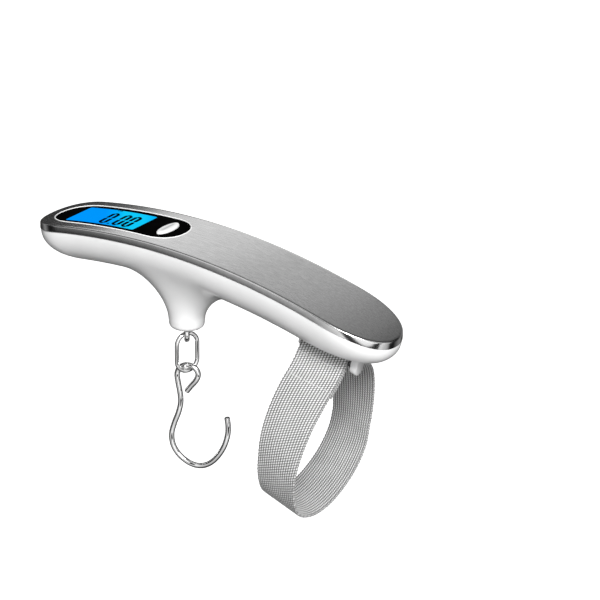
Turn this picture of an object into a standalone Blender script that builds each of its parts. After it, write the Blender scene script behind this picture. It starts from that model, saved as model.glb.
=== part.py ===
"""Digital luggage scale with an arched handle, a load hook and a wrist strap.

The steel cover and the moulded shell follow one shallow arch. A display and a button sit at the -X end,
the load cell lies over the stem at the middle, and the strap hangs from lugs at the +X end.
Dimensions are in millimetres and are scaled to metres when a mesh is made. +Z is up.
The origin is on the load axis, level with the top of the steel cover.
"""

import math

import bmesh
import bpy
from mathutils import Matrix, Vector

MM = 0.001
GAP = 0.3

# Arch of the handle
CROWN_X = -18.0
CROWN_Z = 0.6
ARCH_RADIUS = 260.0

# Plan of the handle
LEFT_X = -63.4
RIGHT_X = 92.2
HALF_WIDTH = 17.0
LEFT_CAP = 14.0
RIGHT_CAP = 25.0
CAP_POWER = 2.3

# Layers, as depth below the arch
STEEL = 0.8
RIM = 2.8
SHELL_TOP = RIM + GAP
SHELL_WALL = 1.4
LIP_TOP = 1.1
LIP_OUTER = STEEL + GAP
LIP_INNER = LIP_OUTER + 1.2
FRAME_TOP = STEEL + GAP
FRAME_BOTTOM = 3.1
BEZEL_TOP = 0.25
BEZEL_BOTTOM = 2.0
BELLY_DEPTH = 17.9
BELLY_GROWTH = 0.022
LEFT_SWEEP = 20.0
RIGHT_SWEEP = 36.0

# Display and button
BEZEL = (-58.6, -0.9, 11.0, 12.0, 10.0, 2.2)
WINDOW = (-50.6, -19.0, 8.6, 8.0, 8.0, 24.0)
DISPLAY_X = 0.5 * (WINDOW[0] + WINDOW[1])
BUTTON_X = -8.5
BUTTON_HALF = (2.5, 6.8)
BUTTON_PROUD = 0.9
BOARD_X = (-53.5, -4.8)
BOARD_TOP = 7.2
BOARD_THICK = 1.0

# Battery bay
CELL_X = -37.0
CELL_RADIUS = 10.0
CELL_THICK = 3.2
CELL_TOP = 9.5
DOOR = (-48.5, -26.3, 11.2, 9.0, 9.0, 6.0)
NOTCH = (-29.4, -28.2)

# Load path
STEM_BOTTOM = -37.8
STEM_RADIUS = 6.9
BOLT_RADIUS = 1.5
BAR = (-4.6, 31.0, 5.0, -14.4, -9.4)
BAR_SCREW_X = (21.0, 27.0)
EYE_Z = -40.6
EYE_RADIUS = 2.55
EYE_WIRE = 1.1
EYE_ANGLE = 123.0
LINK_TOP = -40.7
LINK_BOTTOM = -56.3
LINK_RADIUS = 4.5
LINK_WIRE = 0.9
LINK_ANGLE = 63.0
HOOK_WIRE = 1.1
HOOK_ANGLE = 8.0

# Strap and its pin
PIN_END = Vector((74.1, 0.0, -37.2))
PIN_TILT = math.radians(13.4)
PIN_RADIUS = 1.2
STRAP_MID_X = 62.0
STRAP_WIDTH = 22.7
STRAP_THICK = 1.2

BOSS_RADIUS = 2.5
CASE_SCREWS = ((-57.0, 0.0), (38.0, -8.0), (38.0, 8.0), (81.0, 0.0))


def crown(x):
    """Height of the arch at x."""
    return CROWN_Z - (x - CROWN_X) ** 2 / (2.0 * ARCH_RADIUS)


def slope(x):
    """Angle of the arch at x, positive where it falls towards +X."""
    return math.atan((x - CROWN_X) / ARCH_RADIUS)


def belly(x):
    """Full depth of the handle below the arch at x."""
    return BELLY_DEPTH + BELLY_GROWTH * x


# ---------------------------------------------------------------- materials and meshes


def material(name, colour, roughness, metallic=0.0):
    found = bpy.data.materials.get(name)
    if found:
        return found
    made = bpy.data.materials.new(name)
    made.use_nodes = True
    shader = made.node_tree.nodes["Principled BSDF"]
    shader.inputs["Base Color"].default_value = (*colour, 1.0)
    shader.inputs["Roughness"].default_value = roughness
    shader.inputs["Metallic"].default_value = metallic
    made.diffuse_color = (*colour, 1.0)
    return made


STEEL_BRUSHED = material("steel_brushed", (0.62, 0.62, 0.61), 0.35, 1.0)
CHROME = material("chrome", (0.75, 0.75, 0.76), 0.12, 1.0)
WHITE_PLASTIC = material("white_plastic", (0.85, 0.85, 0.85), 0.25)
BLACK_PLASTIC = material("black_plastic", (0.02, 0.02, 0.022), 0.15)
BLUE_DISPLAY = material("blue_display", (0.03, 0.4, 0.9), 0.2)
CLEAR_PLASTIC = material("clear_plastic", (0.6, 0.75, 0.9), 0.05)
SILVER_PAINT = material("silver_paint", (0.8, 0.8, 0.8), 0.3, 0.6)
CIRCUIT_GREEN = material("circuit_green", (0.03, 0.2, 0.08), 0.45)
RUBBER = material("grey_rubber", (0.25, 0.25, 0.26), 0.8)
ALUMINIUM = material("aluminium", (0.7, 0.7, 0.71), 0.35, 1.0)
BRASS = material("spring_metal", (0.72, 0.66, 0.5), 0.3, 1.0)
FOIL = material("gauge_foil", (0.55, 0.35, 0.12), 0.5)
GREY_WEBBING = material("grey_webbing", (0.42, 0.42, 0.43), 0.85)
LEAD_RED = material("lead_red", (0.5, 0.03, 0.02), 0.5)


def add_object(name, mesh, finish, sharp_degrees=35.0):
    obj = bpy.data.objects.new(name, mesh)
    bpy.context.scene.collection.objects.link(obj)
    mesh.materials.append(finish)
    mesh.shade_smooth()
    mesh.set_sharp_from_angle(angle=math.radians(sharp_degrees))
    return obj


def from_bmesh(name, bm, finish):
    bmesh.ops.recalc_face_normals(bm, faces=bm.faces)
    bmesh.ops.scale(bm, vec=(MM, MM, MM), verts=bm.verts)
    mesh = bpy.data.meshes.new(name)
    bm.to_mesh(mesh)
    bm.free()
    return add_object(name, mesh, finish)


def hide_as_cutter(obj):
    obj.hide_render = True
    obj.display_type = "WIRE"
    return obj


def boolean(target, cutter, operation="DIFFERENCE"):
    hide_as_cutter(cutter)
    modifier = target.modifiers.new(operation.lower() + "_" + cutter.name, "BOOLEAN")
    modifier.operation = operation
    modifier.object = cutter
    return target


# ---------------------------------------------------------------- shapes on the arch


def cap_curve(cap, half, power, steps):
    """Points of a superelliptic quarter, from the tip to the full half width."""
    points = []
    for step in range(1, steps + 1):
        angle = 0.5 * math.pi * step / steps
        along = cap * (1.0 - math.cos(angle) ** (2.0 / power))
        points.append((along, half * math.sin(angle) ** (2.0 / power)))
    return points


def plan(shape, inset=0.0, cap_steps=6, side_steps=12):
    """Closed outline of (left, right, half width, left cap, right cap, power), the same x on both sides."""
    left, right, half, left_cap, right_cap, power = shape
    left, right, half = left + inset, right - inset, half - inset
    left_cap, right_cap = max(left_cap - inset, 0.5), max(right_cap - inset, 0.5)
    side = [(left + a, w) for a, w in cap_curve(left_cap, half, power, cap_steps)]
    start, end = left + left_cap, right - right_cap
    side += [(start + (end - start) * k / side_steps, half) for k in range(1, side_steps)]
    side += [(right - a, w) for a, w in reversed(cap_curve(right_cap, half, power, cap_steps))]
    return [(left, 0.0)] + side + [(right, 0.0)] + [(x, -y) for x, y in reversed(side)]


def arch_ring(outline, drop):
    """The outline laid on the arch, at a depth that is a number or a function of x."""
    return [(x, y, crown(x) - (drop(x) if callable(drop) else drop)) for x, y in outline]


def flat_ring(outline, z):
    return [(x, y, z) for x, y in outline]


def loft(name, rings, finish):
    """Solid through rings that all have one tip point at each end and equal sides between them."""
    bm = bmesh.new()
    loops = [[bm.verts.new(point) for point in ring] for ring in rings]
    count = len(rings[0])
    for lower, upper in zip(loops, loops[1:]):
        for k in range(count):
            n = (k + 1) % count
            bm.faces.new((lower[k], lower[n], upper[n], upper[k]))
    for loop in (loops[0], loops[-1]):
        bm.faces.new((loop[0], loop[1], loop[-1]))
        for k in range(1, count // 2 - 1):
            bm.faces.new((loop[k], loop[k + 1], loop[-k - 1], loop[-k]))
        middle = count // 2
        bm.faces.new((loop[middle - 1], loop[middle], loop[middle + 1]))
    return from_bmesh(name, bm, finish)


def arch_slab(name, shape, top, bottom, finish, inset=0.0, edge=0.0, **steps):
    """Slab between two depths. An edge above zero eases its upper rim."""
    rings = []
    if edge:
        rings = [arch_ring(plan(shape, inset + edge, **steps), top)]
        rings += [arch_ring(plan(shape, inset + 0.3 * edge, **steps), top + 0.3 * edge)]
    rings += [arch_ring(plan(shape, inset, **steps), top + edge)]
    rings += [arch_ring(plan(shape, inset, **steps), bottom)]
    return loft(name, rings, finish)


def prism(name, shape, low, high, inset=0.0, **steps):
    """Upright cutter with an outline as its plan."""
    outline = plan(shape, inset, **steps)
    return hide_as_cutter(loft(name, [flat_ring(outline, high), flat_ring(outline, low)], BLACK_PLASTIC))


# ---------------------------------------------------------------- plain solids


def turned(name, profile, finish, centre=(0.0, 0.0), tilt=None, steps=24):
    """Solid of revolution about Z from (radius, z) pairs that run down and start and end at radius 0."""
    bm = bmesh.new()
    loops = []
    for radius, z in profile:
        if radius <= 0.0:
            loops.append([bm.verts.new((0.0, 0.0, z))])
            continue
        loop = []
        for k in range(steps):
            angle = 2.0 * math.pi * k / steps
            loop.append(bm.verts.new((radius * math.cos(angle), radius * math.sin(angle), z)))
        loops.append(loop)
    for upper, lower in zip(loops, loops[1:]):
        for k in range(steps):
            n = (k + 1) % steps
            if len(upper) == 1:
                bm.faces.new((upper[0], lower[k], lower[n]))
            elif len(lower) == 1:
                bm.faces.new((upper[k], lower[0], upper[n]))
            else:
                bm.faces.new((upper[k], lower[k], lower[n], upper[n]))
    if tilt is not None:
        bmesh.ops.transform(bm, matrix=tilt, verts=bm.verts)
    bmesh.ops.translate(bm, vec=(centre[0], centre[1], 0.0), verts=bm.verts)
    return from_bmesh(name, bm, finish)


def cylinder(name, radius, low, high, finish, centre=(0.0, 0.0), steps=16):
    return turned(name, [(0.0, high), (radius, high), (radius, low), (0.0, low)], finish, centre, steps=steps)


def block(name, x, y, z, finish, bevel=0.0, seat=None):
    """Box between (low, high) pairs. A seat matrix places it afterwards."""
    bm = bmesh.new()
    bmesh.ops.create_cube(bm, size=1.0)
    size = (x[1] - x[0], y[1] - y[0], z[1] - z[0])
    bmesh.ops.scale(bm, vec=size, verts=bm.verts)
    if bevel:
        bmesh.ops.bevel(bm, geom=bm.edges[:], offset=bevel, segments=2, profile=0.5, affect="EDGES")
    middle = ((x[0] + x[1]) / 2, (y[0] + y[1]) / 2, (z[0] + z[1]) / 2)
    bmesh.ops.translate(bm, vec=middle, verts=bm.verts)
    if seat is not None:
        bmesh.ops.transform(bm, matrix=seat, verts=bm.verts)
    return from_bmesh(name, bm, finish)


def seat_at(x):
    """Places a piece modelled about (0, 0, 0) on the arch's tangent plane at x."""
    return Matrix.Translation((x, 0.0, crown(x))) @ Matrix.Rotation(slope(x), 4, "Y")


def wire(name, points, radius, finish, closed=False, sides=8):
    """Round wire along points, swept with a frame carried from one point to the next."""
    points = [Vector(p) for p in points]
    count = len(points)
    tangents = []
    for k in range(count):
        before = points[(k - 1) % count] if closed or k else points[0]
        after = points[(k + 1) % count] if closed or k < count - 1 else points[-1]
        tangents.append((after - before).normalized())
    normal = tangents[0].orthogonal().normalized()
    bm = bmesh.new()
    loops = []
    for point, tangent in zip(points, tangents):
        normal = (normal - normal.dot(tangent) * tangent).normalized()
        side = tangent.cross(normal)
        loop = []
        for k in range(sides):
            angle = 2.0 * math.pi * k / sides
            loop.append(bm.verts.new(point + radius * (math.cos(angle) * normal + math.sin(angle) * side)))
        loops.append(loop)
    if closed:
        start = min(range(sides), key=lambda k: (loops[-1][k].co - loops[0][0].co).length)
        loops.append(loops[0][-start:] + loops[0][:-start] if start else loops[0])
    for a, b in zip(loops, loops[1:]):
        for k in range(sides):
            n = (k + 1) % sides
            bm.faces.new((a[k], a[n], b[n], b[k]))
    if not closed:
        bm.faces.new(loops[0][::-1])
        bm.faces.new(loops[-1])
    return from_bmesh(name, bm, finish)


def spline(points, per_span, closed=False):
    """Catmull-Rom curve through the points."""
    points = [Vector(p) for p in points]
    count = len(points)
    spans = count if closed else count - 1
    curve = []
    for k in range(spans):
        if closed:
            p = [points[(k + j - 1) % count] for j in range(4)]
        else:
            p = [points[min(max(k + j - 1, 0), count - 1)] for j in range(4)]
        for step in range(per_span):
            t = step / per_span
            even = (2.0 * p[0] - 5.0 * p[1] + 4.0 * p[2] - p[3]) * t * t
            odd = (3.0 * p[1] - p[0] - 3.0 * p[2] + p[3]) * t**3
            curve.append(0.5 * (2.0 * p[1] + (p[2] - p[0]) * t + even + odd))
    if not closed:
        curve.append(points[-1])
    return curve


def upright(angle_degrees, across, z):
    """Point at a distance across a vertical plane that stands on the load axis."""
    angle = math.radians(angle_degrees)
    return Vector((across * math.cos(angle), across * math.sin(angle), z))


# ---------------------------------------------------------------- handle


BODY = (LEFT_X, RIGHT_X, HALF_WIDTH, LEFT_CAP, RIGHT_CAP, CAP_POWER)


def belly_rings(inset, wall):
    """Rings of the rounded underside, from the shell's shoulder to its lowest line."""
    left, right, half, left_cap, right_cap, power = BODY
    rings = []
    for degrees in (0, 18, 35, 50, 63, 75, 86):
        cosine, sine = math.cos(math.radians(degrees)), math.sin(math.radians(degrees))
        shape = (
            left + inset + wall + LEFT_SWEEP * (1.0 - cosine),
            right - inset - wall - RIGHT_SWEEP * (1.0 - cosine),
            (half - inset - wall) * cosine**0.8,
            max((left_cap - inset - wall) * cosine**0.5, 1.0),
            max((right_cap - inset - wall) * cosine**0.5, 1.0),
            power,
        )

        def drop(x, sine=sine):
            return SHELL_TOP + (belly(x) - wall - SHELL_TOP) * sine

        rings.append(arch_ring(plan(shape), drop))
    return rings


def stem_solid():
    """Funnel that flares from the round neck into the underside, further along the handle than across it."""
    start, steps, sides = -34.0, 6, 32
    reach = {"left": (19.0, 17.6), "right": (19.0, 14.0), "side": (5.0, 22.0)}
    neck = STEM_RADIUS + 0.2
    bm = bmesh.new()
    foot = [(STEM_RADIUS - 1.9, STEM_BOTTOM), (STEM_RADIUS - 0.6, STEM_BOTTOM + 0.5), (STEM_RADIUS, -35.8)]
    loops = [[(radius, z)] * sides for radius, z in foot]
    for step in range(steps + 1):
        turn = 0.5 * math.pi * step / steps
        loop = []
        for k in range(sides):
            angle = 2.0 * math.pi * k / sides
            ahead = reach["right"] if math.cos(angle) > 0 else reach["left"]
            weight = math.cos(angle) ** 4
            flare = ahead[0] * weight + reach["side"][0] * (1.0 - weight)
            rise = ahead[1] * weight + reach["side"][1] * (1.0 - weight)
            loop.append((neck + flare * (1.0 - math.cos(turn)) ** 0.8, start + rise * math.sin(turn)))
        loops.append(loop)
    loops.append([(7.0, -10.0)] * sides)
    made = []
    for loop in loops:
        ring = []
        for k, (radius, z) in enumerate(loop):
            angle = 2.0 * math.pi * k / sides
            ring.append(bm.verts.new((radius * math.cos(angle), radius * math.sin(angle), z)))
        made.append(ring)
    for a, b in zip(made, made[1:]):
        for k in range(sides):
            n = (k + 1) % sides
            bm.faces.new((a[k], a[n], b[n], b[k]))
    bm.faces.new(made[0])
    bm.faces.new(made[-1])
    return from_bmesh("stem_shape", bm, WHITE_PLASTIC)


def pin_frame(from_end):
    """Frame on the strap pin, at a distance back from its right end; local X runs along the pin."""
    along = Vector((math.cos(PIN_TILT), 0.0, -math.sin(PIN_TILT)))
    return Matrix.Translation(PIN_END - along * from_end) @ Matrix.Rotation(PIN_TILT, 4, "Y")


def lug_solid(name, from_end, thick, radius, root):
    """Rounded tab that hangs from the underside and holds one end of the strap pin."""
    steps = 14
    outline = [(radius, root)]
    for k in range(steps + 1):
        angle = -math.pi * k / steps
        outline.append((radius * math.cos(angle), radius * math.sin(angle)))
    outline.append((-radius, root))
    bm = bmesh.new()
    sides = [[bm.verts.new((x, y, z)) for y, z in outline] for x in (0.0, thick)]
    bm.faces.new(sides[0])
    bm.faces.new(sides[1])
    for k in range(len(outline)):
        n = (k + 1) % len(outline)
        bm.faces.new((sides[0][k], sides[0][n], sides[1][n], sides[1][k]))
    bmesh.ops.transform(bm, matrix=pin_frame(from_end), verts=bm.verts)
    return from_bmesh(name, bm, WHITE_PLASTIC)


def screw_seat(x, y):
    """Height of the flat that a housing screw's head bears on, a little inside the outer surface."""
    across = min((abs(y) / HALF_WIDTH) ** 1.25, 1.0)
    ends = max(1.0 - (x - LEFT_X) / LEFT_SWEEP, 1.0 - (RIGHT_X - x) / RIGHT_SWEEP, across)
    depth = SHELL_TOP + (belly(x) - SHELL_TOP) * math.sqrt(1.0 - min(ends, 0.95) ** 2)
    return crown(x) - depth + 3.2


def make_top_cover():
    rings = [
        arch_ring(plan(BODY, 0.55), 0.0),
        arch_ring(plan(BODY, 0.16), 0.16),
        arch_ring(plan(BODY), 0.55),
        arch_ring(plan(BODY), RIM),
        arch_ring(plan(BODY, STEEL), RIM),
        arch_ring(plan(BODY, STEEL), STEEL),
    ]
    cover = loft("top_cover", rings, STEEL_BRUSHED)
    boolean(cover, prism("cover_cut_out", BEZEL, -12.0, 4.0, inset=-GAP))


def make_inner_frame():
    frame = arch_slab("inner_frame", BODY, FRAME_TOP, FRAME_BOTTOM, WHITE_PLASTIC, inset=LIP_INNER + GAP)
    pocket = arch_slab("frame_pocket", BEZEL, 0.4, BEZEL_BOTTOM + GAP, WHITE_PLASTIC, inset=-GAP)
    boolean(frame, pocket)
    boolean(frame, prism("frame_display_hole", WINDOW, -12.0, 4.0, inset=-0.4))
    boolean(frame, prism("frame_button_hole", button_shape(-1.2), -12.0, 4.0))
    for index, (x, y) in enumerate(CASE_SCREWS):
        boolean(frame, cylinder(f"frame_pilot_{index}", 1.35, -40.0, 6.0, WHITE_PLASTIC, (x, y)))


def make_lower_shell():
    rings = [
        arch_ring(plan(BODY, LIP_OUTER), LIP_TOP),
        arch_ring(plan(BODY, LIP_OUTER), SHELL_TOP),
    ] + belly_rings(0.25, 0.0)
    shell = loft("lower_shell", rings, WHITE_PLASTIC)
    boolean(shell, stem_solid(), "UNION")
    boolean(shell, lug_solid("lug_right_shape", 0.0, 3.0, 3.6, 8.0), "UNION")
    boolean(shell, lug_solid("lug_left_shape", 26.2, 1.6, 2.0, 8.0), "UNION")

    cavity_rings = [
        arch_ring(plan(BODY, LIP_INNER), -2.0),
        arch_ring(plan(BODY, LIP_INNER), SHELL_TOP),
    ] + belly_rings(0.9, SHELL_WALL)
    cavity = loft("shell_cavity", cavity_rings, WHITE_PLASTIC)
    pad = block("load_cell_pad", (17.5, 30.5), (-5.5, 5.5), (-40.0, BAR[3] - GAP), WHITE_PLASTIC)
    boolean(cavity, pad)
    for index, (x, y) in enumerate(CASE_SCREWS):
        top = min(crown(x - BOSS_RADIUS), crown(x + BOSS_RADIUS)) - FRAME_BOTTOM - GAP
        boolean(cavity, cylinder(f"screw_boss_{index}", BOSS_RADIUS, -60.0, top, WHITE_PLASTIC, (x, y)))
    boolean(shell, cavity)

    bore = [(0.0, -12.0), (7.0, -12.0), (5.2, -29.0), (2.2, -31.5), (2.2, -36.3), (4.1, -36.3)]
    bore += [(4.1, -45.0), (0.0, -45.0)]
    boolean(shell, turned("stem_bore", bore, WHITE_PLASTIC))
    boolean(shell, prism("door_opening", DOOR, -30.0, -9.0))
    for x in BAR_SCREW_X:
        boolean(shell, cylinder(f"pad_hole_{x:.0f}", 1.8, -17.6, -9.0, WHITE_PLASTIC, (x, 0.0)))
    for index, (x, y) in enumerate(CASE_SCREWS):
        seat = screw_seat(x, y)
        profile = [(0.0, 6.0), (1.35, 6.0), (1.35, seat), (2.2, seat), (2.2, -60.0), (0.0, -60.0)]
        boolean(shell, turned(f"screw_hole_{index}", profile, WHITE_PLASTIC, (x, y), steps=12))
    hole = PIN_RADIUS + 0.25
    profile = [(0.0, 2.0), (hole, 2.0), (hole, -30.0), (0.0, -30.0)]
    turn = Matrix.Rotation(math.radians(90.0), 4, "Y")
    boolean(shell, turned("pin_hole", profile, WHITE_PLASTIC, tilt=pin_frame(0.0) @ turn, steps=20))


def make_case_screws():
    for index, (x, y) in enumerate(CASE_SCREWS):
        seat = screw_seat(x, y) - GAP
        tip = crown(x) - FRAME_BOTTOM + 0.5
        profile = [(0.0, tip), (0.8, tip), (1.0, tip - 0.4), (1.0, seat), (1.85, seat)]
        profile += [(1.85, seat - 0.8), (1.4, seat - 1.2), (0.0, seat - 1.2)]
        screw = turned(f"case_screw_{index + 1}", profile, STEEL_BRUSHED, (x, y), steps=12)
        for turn, (long, short) in enumerate(((1.1, 0.22), (0.22, 1.1))):
            sides = ((x - long, x + long), (y - short, y + short), (seat - 9.0, seat - 0.6))
            boolean(screw, block(f"screw_{index}_slot_{turn}", *sides, CHROME))


def make_battery_door():
    """Door cut from the same surfaces as the shell, so that it continues the underside."""
    door = loft("battery_door", belly_rings(0.25, 0.0), WHITE_PLASTIC)
    inner_rings = [arch_ring(plan(BODY, 0.6), -2.0)] + belly_rings(0.9, SHELL_WALL)
    boolean(door, loft("door_inner", inner_rings, WHITE_PLASTIC))
    boolean(door, prism("door_outline", DOOR, -30.0, -9.5, inset=GAP), "INTERSECT")
    notch_floor = crown(NOTCH[0]) - belly(NOTCH[0]) + 0.5
    notch = block("door_notch", NOTCH, (-4.0, 4.0), (-30.0, notch_floor), WHITE_PLASTIC)
    boolean(door, notch)


# ---------------------------------------------------------------- display and button


def button_shape(inset):
    long_half, short_half = BUTTON_HALF[1] - inset, BUTTON_HALF[0] - inset
    return (BUTTON_X - short_half, BUTTON_X + short_half, long_half, short_half, short_half, 2.0)


def make_display():
    bezel = arch_slab("display_bezel", BEZEL, BEZEL_TOP, BEZEL_BOTTOM, BLACK_PLASTIC, edge=0.25)
    boolean(bezel, prism("bezel_window", WINDOW, -12.0, 4.0))
    boolean(bezel, prism("bezel_button_hole", button_shape(-GAP), -12.0, 4.0))
    arch_slab("display_window", WINDOW, 0.3, 1.1, CLEAR_PLASTIC, inset=0.25)

    seat = seat_at(DISPLAY_X)
    half = 0.5 * (WINDOW[1] - WINDOW[0]) - 0.6
    block("lcd_panel", (-half, half), (-7.6, 7.6), (-3.3, -1.7), BLUE_DISPLAY, 0.15, seat)
    block("backlight", (-16.0, 16.0), (-6.4, 6.4), (-5.2, -4.0), CLEAR_PLASTIC, 0.2, seat)
    for side, low in (("front", -7.7), ("back", 6.8)):
        block(f"lcd_connector_{side}", (-13.5, 13.5), (low, low + 0.9), (-6.9, -3.6), RUBBER, 0.0, seat)


def make_button():
    cap_top = crown(BUTTON_X) - BEZEL_TOP + BUTTON_PROUD
    flange_top = crown(BUTTON_X) - BEZEL_BOTTOM - GAP - 0.15
    rings = []
    for inset, z in ((1.0, cap_top), (0.35, cap_top - 0.12), (0.0, cap_top - 0.45), (0.0, flange_top)):
        rings.append(flat_ring(plan(button_shape(inset)), z))
    for z in (flange_top, flange_top - 0.7):
        rings.append(flat_ring(plan(button_shape(-0.7)), z))
    cap = loft("button_cap", rings, SILVER_PAINT)
    make_origin(cap, (BUTTON_X, 0.0, cap_top))

    flange_bottom = flange_top - 0.7
    board_top = crown(DISPLAY_X) - (BUTTON_X - DISPLAY_X) * math.tan(slope(DISPLAY_X)) - BOARD_TOP
    foot, head = board_top + 1.4, flange_bottom - GAP
    plunger = cylinder("switch_plunger", 1.5, foot, head, BLACK_PLASTIC, (BUTTON_X, 0.0))
    make_origin(plunger, (BUTTON_X, 0.0, foot))
    x, z = (BUTTON_X - 3.0, BUTTON_X + 3.0), (board_top + 0.35, board_top + 2.1)
    switch = block("tact_switch", x, (-3.0, 3.0), z, BLACK_PLASTIC, 0.2)
    low, high = board_top + 0.75, board_top + 9.0
    boolean(switch, cylinder("switch_bore", 1.8, low, high, BLACK_PLASTIC, (BUTTON_X, 0.0)))


def make_origin(obj, point):
    """Moves an object's origin to a point in millimetres and leaves its mesh where it is."""
    place = Vector(point) * MM
    obj.data.transform(Matrix.Translation(-place))
    obj.location = place


# ---------------------------------------------------------------- electronics


def make_board():
    seat = seat_at(DISPLAY_X)
    length = (BOARD_X[0] - DISPLAY_X, BOARD_X[1] - DISPLAY_X)
    bottom = -BOARD_TOP - BOARD_THICK
    block("circuit_board", length, (-10.2, 10.2), (bottom, -BOARD_TOP), CIRCUIT_GREEN, 0.0, seat)
    chip_top = bottom - GAP
    chip = Matrix.Translation((18.5, 0.0, 0.0))
    block("chip_cover", (-3.2, 3.2), (-3.2, 3.2), (chip_top - 1.1, chip_top), BLACK_PLASTIC, 0.4, seat @ chip)


def make_battery():
    seat = seat_at(CELL_X)
    cup = [(0.0, -8.6), (11.4, -8.6), (11.4, -11.0), (10.6, -11.0), (10.6, -9.1), (0.0, -9.1)]
    holder = turned("battery_holder", cup, WHITE_PLASTIC, tilt=seat, steps=32)
    slot = block("holder_slot", (8.0, 14.0), (-2.9, 2.9), (-14.0, -9.1), WHITE_PLASTIC, 0.0, seat)
    boolean(holder, slot)
    edge, top, bottom = CELL_RADIUS, -CELL_TOP, -CELL_TOP - CELL_THICK
    cell = [(0.0, top), (edge - 1.6, top), (edge - 1.6, top - 0.4), (edge - 0.25, top - 0.4)]
    cell += [(edge, top - 0.65), (edge, bottom + 0.3), (edge - 0.3, bottom), (0.0, bottom)]
    turned("coin_cell", cell, CHROME, tilt=seat, steps=32)
    block("contact_negative", (-6.0, 4.0), (-1.5, 1.5), (-9.4, -9.2), BRASS, 0.0, seat)
    block("contact_positive", (10.3, 10.6), (-2.4, 2.4), (-12.2, -9.2), BRASS, 0.0, seat)


def make_leads():
    """Two leads from the load cell's gauges to the board."""
    for side, finish in ((-1.0, LEAD_RED), (1.0, BLACK_PLASTIC)):
        name = "gauge_lead_front" if side < 0 else "gauge_lead_back"
        points = [(8.2, 5.9 * side, -10.2), (4.0, 6.8 * side, -9.6), (-2.0, 7.6 * side, -9.2)]
        points += [(-7.0, 8.0 * side, -8.9), (-12.0, 8.2 * side, -9.1)]
        wire(name, spline(points, 3), 0.4, finish, sides=6)


# ---------------------------------------------------------------- load path


def make_load_cell():
    left, right, half, low, high = BAR
    bar = block("load_cell", (left, right), (-half, half), (low, high), ALUMINIUM, 0.25)
    middle = 0.5 * (low + high)
    turn = Matrix.Rotation(math.radians(90.0), 4, "X")
    for x in (8.5, 14.5):
        place = Matrix.Translation((x, 0.0, middle)) @ turn
        profile = [(0.0, 20.0), (1.9, 20.0), (1.9, -20.0), (0.0, -20.0)]
        boolean(bar, turned(f"flexure_{x:.0f}", profile, ALUMINIUM, tilt=place))
    slot = block("flexure_slot", (8.5, 14.5), (-20.0, 20.0), (middle - 0.6, middle + 0.6), ALUMINIUM)
    boolean(bar, slot)
    boolean(bar, cylinder("bolt_hole", BOLT_RADIUS + GAP, low - 5.0, high + 5.0, ALUMINIUM))
    for x in BAR_SCREW_X:
        boolean(bar, cylinder(f"bar_hole_{x:.0f}", 1.8, low - 5.0, high + 5.0, ALUMINIUM, (x, 0.0)))
        seat = high + GAP
        profile = [(0.0, seat + 1.7), (2.2, seat + 1.7), (2.7, seat + 1.2), (2.7, seat), (1.5, seat)]
        profile += [(1.5, -17.0), (0.0, -17.0)]
        screw = turned(f"load_cell_screw_{1 + BAR_SCREW_X.index(x)}", profile, CHROME, (x, 0.0), steps=16)
        depth = (seat + 0.9, seat + 9.0)
        boolean(screw, block(f"bar_screw_slot_{x:.0f}", (x - 2.0, x + 2.0), (-0.35, 0.35), depth, CHROME))
    block("gauge_top", (8.0, 15.0), (-2.6, 2.6), (high + 0.15, high + 0.45), FOIL)
    block("gauge_bottom", (8.0, 15.0), (-2.6, 2.6), (low - 0.45, low - 0.15), FOIL)


def make_load_bolt():
    circle = []
    for k in range(24):
        angle = 2.0 * math.pi * k / 24
        circle.append(upright(EYE_ANGLE, EYE_RADIUS * math.sin(angle), EYE_Z + EYE_RADIUS * math.cos(angle)))
    eye = wire("load_bolt", circle, EYE_WIRE, CHROME, closed=True)
    top = BAR[4] + 4.2
    shank = [(0.0, top), (BOLT_RADIUS - 0.3, top), (BOLT_RADIUS, top - 0.3), (BOLT_RADIUS, -37.4)]
    shank += [(1.0, EYE_Z + EYE_RADIUS - 0.2), (0.0, EYE_Z + EYE_RADIUS - 0.2)]
    boolean(eye, turned("bolt_shank", shank, CHROME), "UNION")

    low = BAR[4] + GAP
    washer = turned("load_washer", [(0.0, low + 0.5), (3.2, low + 0.5), (3.2, low), (0.0, low)], CHROME)
    boolean(washer, cylinder("washer_hole", BOLT_RADIUS + GAP, low - 1.0, low + 2.0, CHROME))
    low += 0.5 + GAP
    nut = turned("load_nut", [(0.0, low + 2.3), (2.9, low + 2.3), (2.9, low), (0.0, low)], CHROME, steps=6)
    boolean(nut, cylinder("nut_hole", BOLT_RADIUS + 0.25, low - 1.0, low + 4.0, CHROME))


def make_link():
    points = []
    straight = LINK_TOP - LINK_BOTTOM - 2.0 * LINK_RADIUS
    for k in range(20):
        angle = math.pi * (k + 0.5) / 10
        centre = LINK_TOP - LINK_RADIUS if math.cos(angle) > 0 else LINK_TOP - LINK_RADIUS - straight
        height = centre + LINK_RADIUS * math.cos(angle)
        points.append(upright(LINK_ANGLE, LINK_RADIUS * math.sin(angle), height))
    wire("chain_link", points, LINK_WIRE, CHROME, closed=True)


HOOK_LINE = (
    (-0.3, -65.2),
    (1.6, -62.6),
    (3.8, -59.8),
    (4.7, -57.0),
    (3.4, -54.7),
    (0.4, -53.9),
    (-2.8, -55.2),
    (-4.3, -58.1),
    (-4.0, -61.6),
    (-3.1, -66.4),
    (-2.9, -70.4),
    (-3.9, -74.8),
    (-5.7, -79.6),
    (-6.9, -84.4),
    (-6.3, -89.0),
    (-3.6, -92.9),
    (0.8, -95.5),
    (5.5, -95.9),
    (9.8, -93.9),
    (13.3, -90.0),
    (15.9, -85.3),
    (17.3, -80.4),
    (17.5, -76.6),
    (17.0, -73.0),
)


def make_hook():
    curve = spline([upright(HOOK_ANGLE, across, z) for across, z in HOOK_LINE], 2)
    wire("load_hook", curve, HOOK_WIRE, CHROME)


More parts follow.
